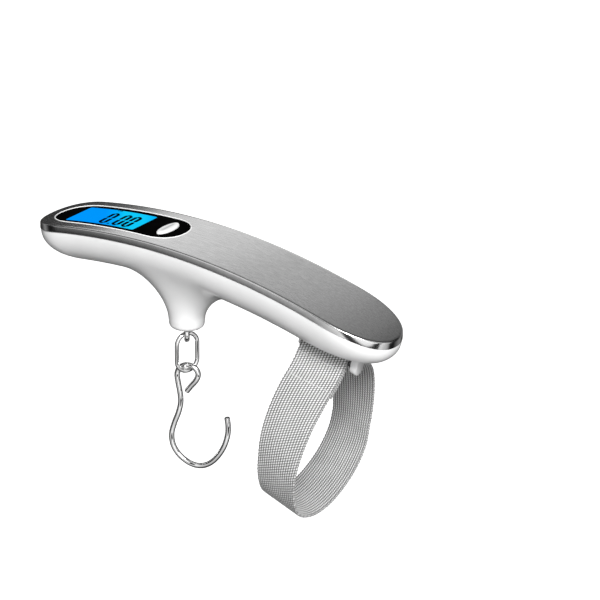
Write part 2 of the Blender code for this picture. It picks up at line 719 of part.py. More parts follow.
# ---------------------------------------------------------------- strap


# Loop of the strap across the pin, as (y, z) of its middle line about the pin's centre
STRAP_LOOP = (
    (0.0, 2.15),
    (-2.4, 1.0),
    (-8.5, -5.6),
    (-17.0, -12.3),
    (-25.0, -20.2),
    (-30.8, -29.8),
    (-32.4, -40.8),
    (-28.5, -50.6),
    (-18.6, -55.4),
    (-7.5, -56.1),
    (3.1, -53.8),
    (13.1, -49.0),
    (20.3, -41.5),
    (22.6, -31.0),
    (21.7, -19.0),
    (18.0, -8.6),
    (10.0, -2.2),
    (2.8, 1.2),
)
STRAP_TILT = (math.radians(13.4), math.radians(4.0))
STRAP_TWIST = (math.radians(0.0), math.radians(-22.0))
STRAP_DRIFT = -1.7


def strap_across(depth):
    """Middle and width direction of the strap at a share of its depth below the pin."""
    tilt = STRAP_TILT[0] + (STRAP_TILT[1] - STRAP_TILT[0]) * min(depth * 3.0, 1.0)
    twist = STRAP_TWIST[0] + (STRAP_TWIST[1] - STRAP_TWIST[0]) * min(depth * 1.6, 1.0)
    flat = math.cos(tilt)
    return Vector((math.cos(twist) * flat, math.sin(twist) * flat, -math.sin(tilt)))


def make_strap():
    pin_z = PIN_END.z + (PIN_END.x - STRAP_MID_X) * math.tan(PIN_TILT)
    lowest = min(z for _, z in STRAP_LOOP)
    middle, across = [], []
    for point in spline([(0.0, y, z) for y, z in STRAP_LOOP], 3, closed=True):
        depth = min(max(point.z / lowest, 0.0), 1.0)
        middle.append(Vector((STRAP_MID_X + STRAP_DRIFT * depth, point.y, pin_z + point.z)))
        across.append(strap_across(depth))
    bm = bmesh.new()
    loops = []
    count = len(middle)
    for k in range(count):
        along = (middle[(k + 1) % count] - middle[k - 1]).normalized()
        out = across[k].cross(along).normalized()
        loop = []
        for side, face in ((-0.5, -0.5), (0.5, -0.5), (0.5, 0.5), (-0.5, 0.5)):
            loop.append(bm.verts.new(middle[k] + across[k] * side * STRAP_WIDTH + out * face * STRAP_THICK))
        loops.append(loop)
    for k in range(count):
        a, b = loops[k], loops[(k + 1) % count]
        for j in range(4):
            n = (j + 1) % 4
            bm.faces.new((a[j], a[n], b[n], b[j]))
    strap = from_bmesh("strap_loop", bm, GREY_WEBBING)
    make_origin(strap, (STRAP_MID_X, 0.0, pin_z))

    pin = [(0.0, 2.0), (PIN_RADIUS - 0.2, 2.0), (PIN_RADIUS, 1.8), (PIN_RADIUS, -25.5)]
    pin += [(PIN_RADIUS - 0.2, -25.7), (0.0, -25.7)]
    turn = Matrix.Rotation(math.radians(90.0), 4, "Y")
    turned("strap_pin", pin, CHROME, tilt=pin_frame(0.0) @ turn, steps=20)


def main():
    for obj in list(bpy.data.objects):
        bpy.data.objects.remove(obj)
    make_top_cover()
    make_inner_frame()
    make_lower_shell()
    make_case_screws()
    make_battery_door()
    make_display()
    make_button()
    make_board()
    make_battery()
    make_leads()
    make_load_cell()
    make_load_bolt()
    make_link()
    make_hook()
    make_strap()


main()
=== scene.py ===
"""Looks of a digital luggage scale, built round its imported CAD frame.

Shapes are worked out in millimetres in the part's own frame and become metres as their meshes are made.
+Z is up, X runs along the handle, and the origin lies on the load axis.
Every piece rides on the CAD body that it belongs to.
"""

import math

import bmesh
import bpy
import numpy as np
from mathutils import Matrix, Vector


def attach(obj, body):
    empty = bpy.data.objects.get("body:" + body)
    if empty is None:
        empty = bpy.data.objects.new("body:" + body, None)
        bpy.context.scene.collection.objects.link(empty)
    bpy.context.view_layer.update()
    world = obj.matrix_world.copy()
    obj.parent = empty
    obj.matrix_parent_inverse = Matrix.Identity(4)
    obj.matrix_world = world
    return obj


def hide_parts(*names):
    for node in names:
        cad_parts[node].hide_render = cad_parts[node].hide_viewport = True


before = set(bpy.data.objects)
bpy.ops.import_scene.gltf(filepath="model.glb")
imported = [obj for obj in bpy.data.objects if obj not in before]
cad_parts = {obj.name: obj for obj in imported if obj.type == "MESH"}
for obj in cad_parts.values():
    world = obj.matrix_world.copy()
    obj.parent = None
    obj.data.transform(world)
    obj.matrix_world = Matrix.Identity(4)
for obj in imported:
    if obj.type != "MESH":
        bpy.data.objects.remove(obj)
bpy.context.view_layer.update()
MM = 0.001

# Handle, as in the CAD. Outlines are left end, right end, half width, left cap, right cap, power of the caps.
CROWN_X, CROWN_Z, ARCH_RADIUS = -18.0, 0.6, 260.0
BODY = (-63.4, 92.2, 17.0, 14.0, 25.0, 2.3)
STEEL, RIM, SHELL_TOP = 0.8, 2.8, 3.1
LIP_TOP, LIP_OUTER, LIP_INNER = 1.1, 1.1, 2.3
BELLY_DEPTH, BELLY_GROWTH = 17.9, 0.022
LEFT_SWEEP, RIGHT_SWEEP = 20.0, 36.0
BEZEL = (-58.6, -0.9, 11.0, 12.0, 10.0, 2.2)
WINDOW = (-50.6, -19.0, 8.6, 8.0, 8.0, 24.0)
BUTTON_X, BUTTON_HALF, BUTTON_RISE = -8.5, (2.5, 6.8), 0.65
DOOR, DOOR_GAP = (-48.5, -26.3, 11.2, 9.0, 9.0, 6.0), 0.3
STEM_BOTTOM, STEM_START, STEM_RADIUS = -37.8, -34.0, 7.1
CASE_SCREWS = ((-57.0, 0.0), (38.0, -8.0), (38.0, 8.0), (81.0, 0.0))

# Load path
EYE_Z, EYE_RADIUS, EYE_WIRE, EYE_ANGLE = -40.6, 2.55, 1.03, 123.0
LINK_TOP, LINK_BOTTOM, LINK_RADIUS, LINK_WIRE, LINK_ANGLE = -40.7, -56.3, 4.5, 0.85, 63.0
HOOK_WIRE, HOOK_ANGLE = 1.1, 8.0
HOOK_LINE = (
    (-0.3, -65.2), (1.6, -62.6), (3.8, -59.8), (4.7, -57.0), (3.4, -54.7), (0.4, -53.9),
    (-2.8, -55.2), (-4.3, -58.1), (-4.0, -61.6), (-3.1, -66.4), (-2.9, -70.4), (-3.9, -74.8),
    (-5.7, -79.6), (-6.9, -84.4), (-6.3, -89.0), (-3.6, -92.9), (0.8, -95.5), (5.5, -95.9),
    (9.8, -93.9), (13.3, -90.0), (15.9, -85.3), (17.3, -80.4), (17.5, -76.6), (17.0, -73.0),
)

# Strap and its pin
PIN_END = Vector((74.1, 0.0, -37.2))
PIN_TILT = math.radians(13.4)
PIN_RADIUS, PIN_LENGTH = 1.2, 25.6
STRAP_MID_X, STRAP_WIDTH, STRAP_THICK = 62.0, 22.7, 1.2
STRAP_LOOP = (
    (0.0, 2.15), (-2.4, 1.0), (-8.5, -5.6), (-17.0, -12.3), (-25.0, -20.2), (-30.8, -29.8),
    (-32.4, -40.8), (-28.5, -50.6), (-18.6, -55.4), (-7.5, -56.1), (3.1, -53.8), (13.1, -49.0),
    (20.3, -41.5), (22.6, -31.0), (21.7, -19.0), (18.0, -8.6), (10.0, -2.2), (2.8, 1.2),
)
STRAP_TILT = (math.radians(13.4), math.radians(4.0))
STRAP_TWIST = math.radians(-22.0)
STRAP_DRIFT = -1.7


# -------------------------------- node materials


def new_material(name):
    made = bpy.data.materials.new(name)
    made.use_nodes = True
    tree = made.node_tree
    return made, tree, tree.nodes["Principled BSDF"]


def add(tree, kind, settings=None, **inputs):
    """Node with its settings and inputs, by name, or i0, i1 by number. A value that is a socket is linked."""
    node = tree.nodes.new(kind)
    for key, value in (settings or {}).items():
        setattr(node, key, value)
    for key, value in inputs.items():
        socket = node.inputs[int(key[1:])] if key[0] == "i" and key[1:].isdigit() else node.inputs[key]
        if isinstance(value, bpy.types.NodeSocket):
            tree.links.new(value, socket)
        else:
            socket.default_value = value
    return node


def place(tree, stretch=(1.0, 1.0, 1.0)):
    """Object coordinates in millimetres, stretched for a texture that is longer one way."""
    source = add(tree, "ShaderNodeTexCoord").outputs["Object"]
    scale = tuple(1.0 / (MM * s) for s in stretch)
    return add(tree, "ShaderNodeMapping", Vector=source, Scale=scale).outputs["Vector"]


def noise(tree, vector, scale, detail=2.0, roughness=0.5):
    """Noise from 0 to 1, with its scale in repeats per millimetre."""
    return add(
        tree, "ShaderNodeTexNoise", Vector=vector, Scale=scale, Detail=detail, Roughness=roughness
    ).outputs["Fac"]


def ramp(tree, value, *stops):
    """Colour ramp through (position, grey or colour) stops."""
    node = add(tree, "ShaderNodeValToRGB", Fac=value)
    elements = node.color_ramp.elements
    while len(elements) < len(stops):
        elements.new(0.5)
    for element, (position, colour) in zip(elements, stops):
        element.position = position
        grey = not isinstance(colour, tuple)
        element.color = (colour, colour, colour, 1.0) if grey else (*colour, 1.0)
    return node.outputs["Color"]


def spread(tree, value, low, high):
    """Maps the usual range of a noise, 0.25 to 0.75, to low..high."""
    return add(
        tree, "ShaderNodeMapRange", Value=value, i1=0.25, i2=0.75, i3=low, i4=high
    ).outputs["Result"]


def bump(tree, height, strength, distance_mm):
    return add(
        tree, "ShaderNodeBump", Height=height, Strength=strength, Distance=distance_mm * MM
    ).outputs["Normal"]


def multiply_add(tree, value, factor, base):
    return add(
        tree, "ShaderNodeMath", {"operation": "MULTIPLY_ADD"}, i0=value, i1=factor, i2=base
    ).outputs[0]


def surface(tree, shader, colour, roughness, normal=None):
    """Links what drives a material's colour, roughness and bump."""
    for name, value in (("Base Color", colour), ("Roughness", roughness), ("Normal", normal)):
        if value is not None:
            tree.links.new(value, shader.inputs[name])


def brushed_steel():
    """Satin steel with fine streaks along X."""
    made, tree, shader = new_material("brushed_steel")
    fine = noise(tree, place(tree, (34.0, 0.24, 0.24)), 1.0, 3.0, 0.65)
    broad = noise(tree, place(tree, (80.0, 0.55, 0.55)), 1.0, 2.0)
    streaks = add(tree, "ShaderNodeMath", {"operation": "MULTIPLY"}, i0=fine, i1=broad).outputs[0]
    colour = ramp(tree, streaks, (0.12, 0.57), (0.25, 0.66), (0.4, 0.75))
    surface(tree, shader, colour, spread(tree, fine, 0.13, 0.19), bump(tree, fine, 0.03, 0.01))
    shader.inputs["Metallic"].default_value = 1.0
    return made


def plain_steel(name, low, high, rough_low, rough_high, scratch=0.12):
    """Smooth metal with faint handling marks."""
    made, tree, shader = new_material(name)
    spots = place(tree)
    cloud = noise(tree, spots, 0.35, 3.0)
    grain = noise(tree, spots, 6.0, 2.0)
    colour = ramp(tree, cloud, (0.3, low), (0.7, high))
    roughness = spread(tree, grain, rough_low, rough_high)
    surface(tree, shader, colour, roughness, bump(tree, grain, scratch, 0.01))
    shader.inputs["Metallic"].default_value = 1.0
    return made


def moulded(name, low, high, rough_low, rough_high, grain_mm=0.5, depth=0.1, coat=0.0, gloss=0.5):
    """Moulded plastic: a faint mottling in colour and gloss, and the mould's fine texture."""
    made, tree, shader = new_material(name)
    spots = place(tree)
    cloud = noise(tree, spots, 0.08, 3.0)
    grain = noise(tree, spots, 1.0 / grain_mm, 2.0)
    colour = ramp(tree, cloud, (0.3, low), (0.7, high))
    roughness = spread(tree, grain, rough_low, rough_high)
    surface(tree, shader, colour, roughness, bump(tree, grain, depth, 0.01))
    shader.inputs["Specular IOR Level"].default_value = gloss
    shader.inputs["Coat Weight"].default_value = coat
    shader.inputs["Coat Roughness"].default_value = 0.05
    return made


def glowing_display():
    """Back-lit blue liquid-crystal face, with a paler band that slants across its +X half."""
    made, tree, shader = new_material("blue_display")
    parts = add(tree, "ShaderNodeSeparateXYZ", Vector=place(tree)).outputs
    lean = multiply_add(tree, parts["Y"], 0.6, parts["X"])
    share = add(tree, "ShaderNodeMapRange", Value=lean, i1=-40.0, i2=-12.0).outputs["Result"]
    cells = noise(tree, place(tree), 3.0, 2.0)
    mixed = multiply_add(tree, cells, 0.06, share)
    deep, blue, pale, end = (0.0, 0.31, 1.0), (0.0, 0.42, 1.0), (0.005, 0.6, 0.98), (0.0, 0.45, 1.0)
    glow = ramp(tree, mixed, (0.1, deep), (0.3, blue), (0.42, pale), (0.75, pale), (0.95, end))
    tree.links.new(glow, shader.inputs["Emission Color"])
    unlit = ramp(tree, cells, (0.2, (0.0, 0.004, 0.01)), (0.8, (0.0, 0.008, 0.02)))
    surface(tree, shader, unlit, spread(tree, cells, 0.1, 0.16))
    shader.inputs["Emission Strength"].default_value = 0.97
    shader.inputs["Specular IOR Level"].default_value = 0.0
    return made


def webbing():
    """Grey woven yarn with a little fuzz, with painted shade between the yarns and a painted highlight where
    they stand up.
    """
    made, tree, shader = new_material("grey_webbing")
    height = add(tree, "ShaderNodeAttribute", {"attribute_name": "weave"}).outputs["Fac"]
    fibre = noise(tree, place(tree), 5.0, 3.0, 0.7)
    patch = noise(tree, place(tree), 0.12, 2.0)
    mixed = multiply_add(tree, fibre, 0.35, height)
    toned = multiply_add(tree, patch, 0.14, mixed)
    # Painted shade in the gaps of the weave and painted highlight on the yarn tops, over the yarn's own grey
    # and its random patches.
    colour = ramp(tree, toned, (0.25, 0.03), (0.5, 0.17), (0.8, 0.48), (1.0, 0.76))
    surface(tree, shader, colour, spread(tree, fibre, 0.6, 0.85), bump(tree, fibre, 0.5, 0.05))
    shader.inputs["Sheen Weight"].default_value = 0.3
    shader.inputs["Sheen Roughness"].default_value = 0.5
    return made


def tinted(name, low, high, rough_low, rough_high, metallic=0.0, scale=0.6):
    """Coloured material with mottling in colour and gloss."""
    made, tree, shader = new_material(name)
    spots = place(tree)
    cloud = noise(tree, spots, scale, 3.0)
    colour = ramp(tree, cloud, (0.3, low), (0.7, high))
    roughness = spread(tree, cloud, rough_low, rough_high)
    surface(tree, shader, colour, roughness, bump(tree, noise(tree, spots, 4.0), 0.1, 0.01))
    shader.inputs["Metallic"].default_value = metallic
    return made


STEEL_TOP = brushed_steel()
STEEL_RIM = plain_steel("rim_steel", 0.74, 0.84, 0.1, 0.16)
STEEL_EDGE = plain_steel("edge_steel", 0.78, 0.86, 0.14, 0.22)
CHROME = plain_steel("chrome", 0.92, 0.98, 0.02, 0.04, 0.003)
PIN_STEEL = plain_steel("pin_steel", 0.4, 0.5, 0.2, 0.3)
SCREW_STEEL = plain_steel("screw_steel", 0.45, 0.6, 0.25, 0.4)
WHITE = moulded("white_gloss", 0.83, 0.88, 0.16, 0.22, coat=0.2)
WHITE_MATT = moulded("white_matt", 0.7, 0.76, 0.45, 0.6, 0.3, 0.3)
BLACK = moulded("black_gloss", 0.001, 0.003, 0.08, 0.12, gloss=0.0)
BLACK_MATT = moulded("black_matt", 0.015, 0.03, 0.4, 0.55, 0.3, 0.3)
SILVER = moulded("silver_button", 0.84, 0.9, 0.34, 0.42, 0.2, 0.15)
RING = moulded("pale_ring", 0.9, 0.95, 0.25, 0.32)
DISPLAY = glowing_display()
DIGIT = moulded("display_ink", 0.0, 0.002, 0.6, 0.7, gloss=0.0)
WEBBING = webbing()
THREAD = tinted("grey_thread", (0.42, 0.42, 0.43), (0.6, 0.6, 0.61), 0.6, 0.75, scale=3.0)
CIRCUIT = tinted("circuit_green", (0.01, 0.12, 0.04), (0.02, 0.2, 0.07), 0.35, 0.5)
RUBBER = tinted("grey_rubber", (0.16, 0.16, 0.17), (0.25, 0.25, 0.26), 0.7, 0.85)
GUIDE = tinted("light_guide", (0.62, 0.76, 0.86), (0.75, 0.86, 0.93), 0.2, 0.35)
PANEL = tinted("display_panel", (0.02, 0.2, 0.5), (0.03, 0.3, 0.65), 0.15, 0.25)
SPRING = tinted("contact_metal", (0.66, 0.6, 0.44), (0.78, 0.72, 0.55), 0.22, 0.35, 1.0)
ALUMINIUM = tinted("beam_aluminium", (0.6, 0.6, 0.61), (0.72, 0.72, 0.73), 0.3, 0.42, 1.0)
FOIL = tinted("gauge_foil", (0.4, 0.22, 0.06), (0.6, 0.36, 0.12), 0.4, 0.55)
RED = tinted("lead_red", (0.42, 0.02, 0.01), (0.55, 0.04, 0.02), 0.4, 0.55)

# CAD nodes that no visual piece stands for, by the finish that they wear
CARRIED = {
    SCREW_STEEL: ("load_cell_screw_1", "load_cell_screw_2", "load_washer", "load_nut")
    + tuple(f"case_screw_{k + 1}" for k in range(len(CASE_SCREWS))),
    CHROME: ("coin_cell",),
    WHITE_MATT: ("inner_frame", "battery_holder"),
    BLACK_MATT: ("switch_plunger", "tact_switch", "chip_cover", "gauge_lead_back"),
    CIRCUIT: ("circuit_board",),
    RUBBER: ("lcd_connector_front", "lcd_connector_back"),
    GUIDE: ("backlight",),
    PANEL: ("lcd_panel",),
    SPRING: ("contact_negative", "contact_positive"),
    ALUMINIUM: ("load_cell",),
    FOIL: ("gauge_top", "gauge_bottom"),
    RED: ("gauge_lead_front",),
}


def dress_carried_nodes():
    """Gives the CAD nodes that stay visible their finishes."""
    for finish, names in CARRIED.items():
        for name in names:
            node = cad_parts[name]
            for index in range(max(len(node.data.materials), 1)):
                if index < len(node.data.materials):
                    node.material_slots[index].material = finish
                else:
                    node.data.materials.append(finish)


# -------------------------------- meshes


def piece(name, points, faces, finishes, indices=None, sharp=35.0):
    """Object from points in millimetres, shaded smooth with creases above an angle."""
    mesh = bpy.data.meshes.new(name)
    mesh.from_pydata([tuple(float(c) * MM for c in p) for p in points], [], [tuple(f) for f in faces])
    for finish in finishes if isinstance(finishes, (list, tuple)) else [finishes]:
        mesh.materials.append(finish)
    if indices is not None:
        mesh.polygons.foreach_set("material_index", indices)
    obj = bpy.data.objects.new(name, mesh)
    bpy.context.scene.collection.objects.link(obj)
    bm = bmesh.new()
    bm.from_mesh(mesh)
    bmesh.ops.recalc_face_normals(bm, faces=bm.faces)
    bm.to_mesh(mesh)
    bm.free()
    shade(obj, sharp)
    return obj


def shade(obj, sharp=35.0):
    obj.data.shade_smooth()
    obj.data.set_sharp_from_angle(angle=math.radians(sharp))


def settle(obj, body, slot, *nodes):
    """Puts a finished piece on its body and hides the CAD nodes it stands for. The slot it is given is not
    used.
    """
    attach(obj, body)
    if nodes:
        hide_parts(*nodes)
    return obj


def strip(a, b, count):
    """Faces between two closed rows of points, from the indices that they start at."""
    return [(a + k, a + (k + 1) % count, b + (k + 1) % count, b + k) for k in range(count)]


def boolean(target, cutter, operation="DIFFERENCE"):
    """Applies a cut, join or overlap and removes the cutter."""
    modifier = target.modifiers.new(operation, "BOOLEAN")
    modifier.operation = operation
    modifier.object = cutter
    graph = bpy.context.evaluated_depsgraph_get()
    mesh = bpy.data.meshes.new_from_object(target.evaluated_get(graph))
    target.modifiers.clear()
    target.data = mesh
    bpy.data.objects.remove(cutter)
    return target


def joined(name, *objects):
    """One mesh object from several whose solids don't touch."""
    bm = bmesh.new()
    for obj in objects:
        bm.from_mesh(obj.data)
        bpy.data.objects.remove(obj)
    mesh = bpy.data.meshes.new(name)
    bm.to_mesh(mesh)
    bm.free()
    made = bpy.data.objects.new(name, mesh)
    bpy.context.scene.collection.objects.link(made)
    return made


# -------------------------------- the arch and its outlines


def crown(x):
    """Height of the cover's middle line."""
    return CROWN_Z - (x - CROWN_X) ** 2 / (2.0 * ARCH_RADIUS)


def belly(x):
    """Depth of the underside below the crown."""
    return BELLY_DEPTH + BELLY_GROWTH * x


def grown(shape, inset):
    """The outline drawn in by an inset, or let out by a negative one."""
    left, right, half, left_cap, right_cap, power = shape
    caps = max(left_cap - inset, 0.5), max(right_cap - inset, 0.5)
    return (left + inset, right - inset, half - inset, *caps, power)


def plan(shape, inset=0.0, cap_steps=24, side_steps=80):
    """Closed outline with a tip point at each end and the same x on both sides."""
    left, right, half, left_cap, right_cap, power = grown(shape, inset)

    def quarter(cap):
        """(distance from the tip, half width) over a cap."""
        turns = [0.5 * math.pi * (k / cap_steps) for k in range(1, cap_steps + 1)]
        distances = [cap * (1 - max(math.cos(t), 0.0) ** (2 / power)) for t in turns]
        return list(zip(distances, [half * math.sin(t) ** (2 / power) for t in turns]))

    side = [(left + a, w) for a, w in quarter(left_cap)]
    start, end = left + left_cap, right - right_cap
    side += [(start + (end - start) * k / side_steps, half) for k in range(1, side_steps)]
    side += [(right - a, w) for a, w in reversed(quarter(right_cap))]
    return [(left, 0.0)] + side + [(right, 0.0)] + [(x, -y) for x, y in reversed(side)]


def arch_ring(outline, drop):
    return [(x, y, crown(x) - drop) for x, y in outline]


def flat_ring(outline, z):
    return [(x, y, z) for x, y in outline]


def loft(name, rings, finishes, bands=None, sharp=35.0):
    """Solid through rings with one tip point at each end.

    Bands are the material index of each wall, then of the first and the last cap.
    """
    count = len(rings[0])
    points = [p for ring in rings for p in ring]
    faces, indices = [], []
    for band in range(len(rings) - 1):
        faces += strip(band * count, (band + 1) * count, count)
        indices += [bands[band] if bands else 0] * count
    middle = count // 2
    for end, base in enumerate((0, (len(rings) - 1) * count)):
        cap = [(base, base + 1, base + count - 1)]
        for k in range(1, middle - 1):
            facing = base + count - k
            cap.append((base + k, base + k + 1, facing - 1, facing))
        cap.append((base + middle - 1, base + middle, base + middle + 1))
        faces += cap
        indices += [bands[len(rings) - 1 + end] if bands else 0] * len(cap)
    return piece(name, points, faces, finishes, indices, sharp)


def prism(name, shape, low, high, inset=0.0, **steps):
    """Upright cutter with an outline in the plan."""
    outline = plan(shape, inset, **steps)
    return loft(name, [flat_ring(outline, high), flat_ring(outline, low)], WHITE)


def turned(name, profile, finishes, seat=Matrix.Identity(4), steps=48, sharp=35.0):
    """Solid of revolution about Z from (radius, z) pairs, starting and ending on the axis."""
    points, faces, loops = [], [], []
    for radius, z in profile:
        start = len(points)
        count = steps if radius > 0.0 else 1
        for k in range(count):
            turn = 2.0 * math.pi * k / steps
            points.append(seat @ Vector((radius * math.cos(turn), radius * math.sin(turn), z)))
        loops.append([start + k % count for k in range(steps)])
    for upper, lower in zip(loops, loops[1:]):
        for k in range(steps):
            n = (k + 1) % steps
            corners = dict.fromkeys((upper[k], lower[k], lower[n], upper[n]))
            if len(corners) > 2:
                faces.append(tuple(corners))
    return piece(name, points, faces, finishes, sharp=sharp)


def spline(points, per_span, closed=False):
    """Catmull-Rom curve through the points."""
    points = [Vector(p) for p in points]
    count = len(points)
    curve = []
    for k in range(count if closed else count - 1):
        if closed:
            a, b, c, d = (points[(k + j - 1) % count] for j in range(4))
        else:
            a, b, c, d = (points[min(max(k + j - 1, 0), count - 1)] for j in range(4))
        for step in range(per_span):
            t = step / per_span
            even = (2.0 * a - 5.0 * b + 4.0 * c - d) * t * t
            odd = (3.0 * b - a - 3.0 * c + d) * t**3
            curve.append(0.5 * (2.0 * b + (c - a) * t + even + odd))
    if not closed:
        curve.append(points[-1])
    return curve


def wire(name, points, radius, finish, closed=False, sides=20):
    """Round wire along points. A list of radii tapers it."""
    points = [Vector(p) for p in points]
    count = len(points)
    radii = radius if isinstance(radius, (list, tuple)) else [radius] * count
    normal = None
    rings = []
    for k, point in enumerate(points):
        before = points[(k - 1) % count] if closed or k else points[0]
        after = points[(k + 1) % count] if closed or k < count - 1 else points[-1]
        along = (after - before).normalized()
        if normal is None:
            normal = along.orthogonal().normalized()
        else:
            normal = (normal - normal.dot(along) * along).normalized()
        side = along.cross(normal)
        turns = [2.0 * math.pi * j / sides for j in range(sides)]
        rings.append([point + radii[k] * (math.cos(t) * normal + math.sin(t) * side) for t in turns])
    flat = [p for ring in rings for p in ring]
    faces = []
    for k in range(count if closed else count - 1):
        low, high = k * sides, (k + 1) % count * sides
        shift = 0
        if high == 0:
            shift = min(range(sides), key=lambda j: (rings[-1][0] - rings[0][j]).length)
        for j in range(sides):
            n = (j + 1) % sides
            faces.append((low + j, low + n, high + (n + shift) % sides, high + (j + shift) % sides))
    if not closed:
        faces.append(tuple(range(sides))[::-1])
        faces.append(tuple(range(len(flat) - sides, len(flat))))
    return piece(name, flat, faces, finish)


def upright(angle_degrees, across, z):
    """Point across a vertical plane that stands on the load axis."""
    angle = math.radians(angle_degrees)
    return Vector((across * math.cos(angle), across * math.sin(angle), z))


# -------------------------------- steel cover, bezel, display and button


def rounded(radius, steps=5):
    """(inset, drop) pairs of a rounded upper edge."""
    turns = [0.5 * math.pi * k / steps for k in range(steps + 1)]
    return [(radius * (1 - math.sin(t)), radius * (1 - math.cos(t))) for t in turns]


COVER_FINISHES = [STEEL_TOP, STEEL_RIM, STEEL_EDGE]
COVER_BEVEL, COVER_EASE = 0.55, 0.1
COVER_GAP, COVER_CHAMFER = 0.14, 0.2
LENS_GROWTH, LENS_TOP, LENS_BOTTOM, LENS_EDGE = 0.08, 0.12, 1.8, 0.12
RING_WIDTH, RING_PROUD, RING_SINK = 0.6, 0.16, 0.3
BUTTON_GAP = 0.22
LENS_CUT = (-12.0, 4.0)


def bezel_ring(inset, drop):
    return arch_ring(plan(BEZEL, inset, 32, 40), drop)


def make_top_cover():
    """Pressed steel cover: brushed on top, smooth down its rim, with a bright bevel between."""
    profile = [(2.6, 0.0), (1.3, 0.0)] + rounded(COVER_BEVEL)
    profile += [(0.0, RIM - COVER_EASE), (COVER_EASE, RIM), (STEEL, RIM), (STEEL, STEEL)]
    top, rim, edge = range(3)
    bands = [top] * 3 + [edge] * 3 + [rim] * 5 + [top, rim]
    rings = [arch_ring(plan(BODY, inset), drop) for inset, drop in profile]
    cover = loft("steel_cover", rings, COVER_FINISHES, bands, 50.0)
    below, above = 5.0, 1.0
    steps = ((COVER_GAP, below), (COVER_GAP, COVER_CHAMFER), (COVER_GAP + COVER_CHAMFER + above, -above))
    cutter = [bezel_ring(-out, drop) for out, drop in steps]
    boolean(cover, loft("cover_cut", cutter, COVER_FINISHES, [rim, edge, rim, rim]))
    shade(cover, 25.0)
    settle(cover, "handle", "steel_cover", "top_cover")


def button_shape(inset):
    """Oval that is long across the handle."""
    short, long = BUTTON_HALF[0] - inset, BUTTON_HALF[1] - inset
    return (BUTTON_X - short, BUTTON_X + short, long, short, short, 2.0)


def make_bezel():
    """Black lens almost flush with the cover, with openings for the display and the button."""
    profile = [(1.6, 0.0)] + rounded(LENS_EDGE, 3) + [(0.0, LENS_BOTTOM)]
    rings = [bezel_ring(i - LENS_GROWTH, LENS_TOP + d) for i, d in profile]
    lens = loft("black_lens", rings, BLACK, sharp=50.0)
    boolean(lens, prism("window_cut", WINDOW, *LENS_CUT, cap_steps=12, side_steps=30))
    boolean(lens, prism("button_cut", button_shape(-BUTTON_GAP), *LENS_CUT, cap_steps=24, side_steps=2))
    shade(lens, 30.0)
    settle(lens, "handle", "black_bezel", "display_bezel")


def make_lens_ring():
    """Pale ring round the lens: rounded on its outer side, falling away to the lens on its inner side."""
    profile = [(0.0, RING_SINK)] + [(i, d - RING_PROUD) for i, d in reversed(rounded(0.5 * RING_WIDTH, 4))]
    rings = [bezel_ring(i - RING_WIDTH, d) for i, d in profile] + [bezel_ring(0.5, RING_SINK)]
    ring = loft("lens_ring", rings, RING, sharp=60.0)
    inner = [bezel_ring(-LENS_GROWTH, drop) for drop in (-3.0, 3.0)]
    boolean(ring, loft("ring_cut", inner, RING))
    shade(ring, 40.0)
    settle(ring, "handle", "steel_cover")


FACE_GAP, FACE_BOTTOM = 0.05, 0.9
INK_PROUD, INK_THICK = 0.02, 0.05
DIGIT_WIDTH, DIGIT_HEIGHT, DIGIT_STROKE, DIGIT_SLANT = 2.3, 11.3, 1.4, -0.04
DIGIT_SHIFTS = (0.0, 6.0, 10.4)
DIGIT_START = (-35.8, -6.9)
DIGIT_JOINT = 0.05
POINT_X, POINT_SIZE = 3.8, 0.9
LEVEL_X, LEVEL_RISE, LEVEL_PITCH, LEVEL_SIZE, LEVEL_GROWTH = -0.8, 3.2, 0.75, 0.5, 0.3


def arch_plate(name, outline, top, thick, finish):
    """Thin plate with a convex outline, laid on the arch."""
    count = len(outline)
    points = [(x, y, crown(x) - top - d) for d in (0.0, thick) for x, y in outline]
    faces = [tuple(range(count)), tuple(range(count, 2 * count))[::-1]]
    faces += strip(0, count, count)
    return piece(name, points, faces, finish)


def slanted(x, y):
    """A point of the slightly leaning read-out, in the handle's plan."""
    return (DIGIT_START[0] + x + DIGIT_SLANT * y, DIGIT_START[1] + y)


def segment(start, end):
    """Outline of one bar of a digit with pointed ends."""
    (x0, y0), (x1, y1) = start, end
    length = math.hypot(x1 - x0, y1 - y0)
    ux, uy = (x1 - x0) / length, (y1 - y0) / length
    half, gap = 0.5 * DIGIT_STROKE, DIGIT_JOINT
    corners = []
    for along, across in (
        (gap, 0.0), (gap + half, half), (length - gap - half, half),
        (length - gap, 0.0), (length - gap - half, -half), (gap + half, -half),
    ):
        corners.append(slanted(x0 + ux * along - uy * across, y0 + uy * along + ux * across))
    return corners


def block(left, low, width, height):
    """Outline of a small mark of the read-out."""
    corners = ((left, low), (left + width, low), (left + width, low + height), (left, low + height))
    return [slanted(x, y) for x, y in corners]


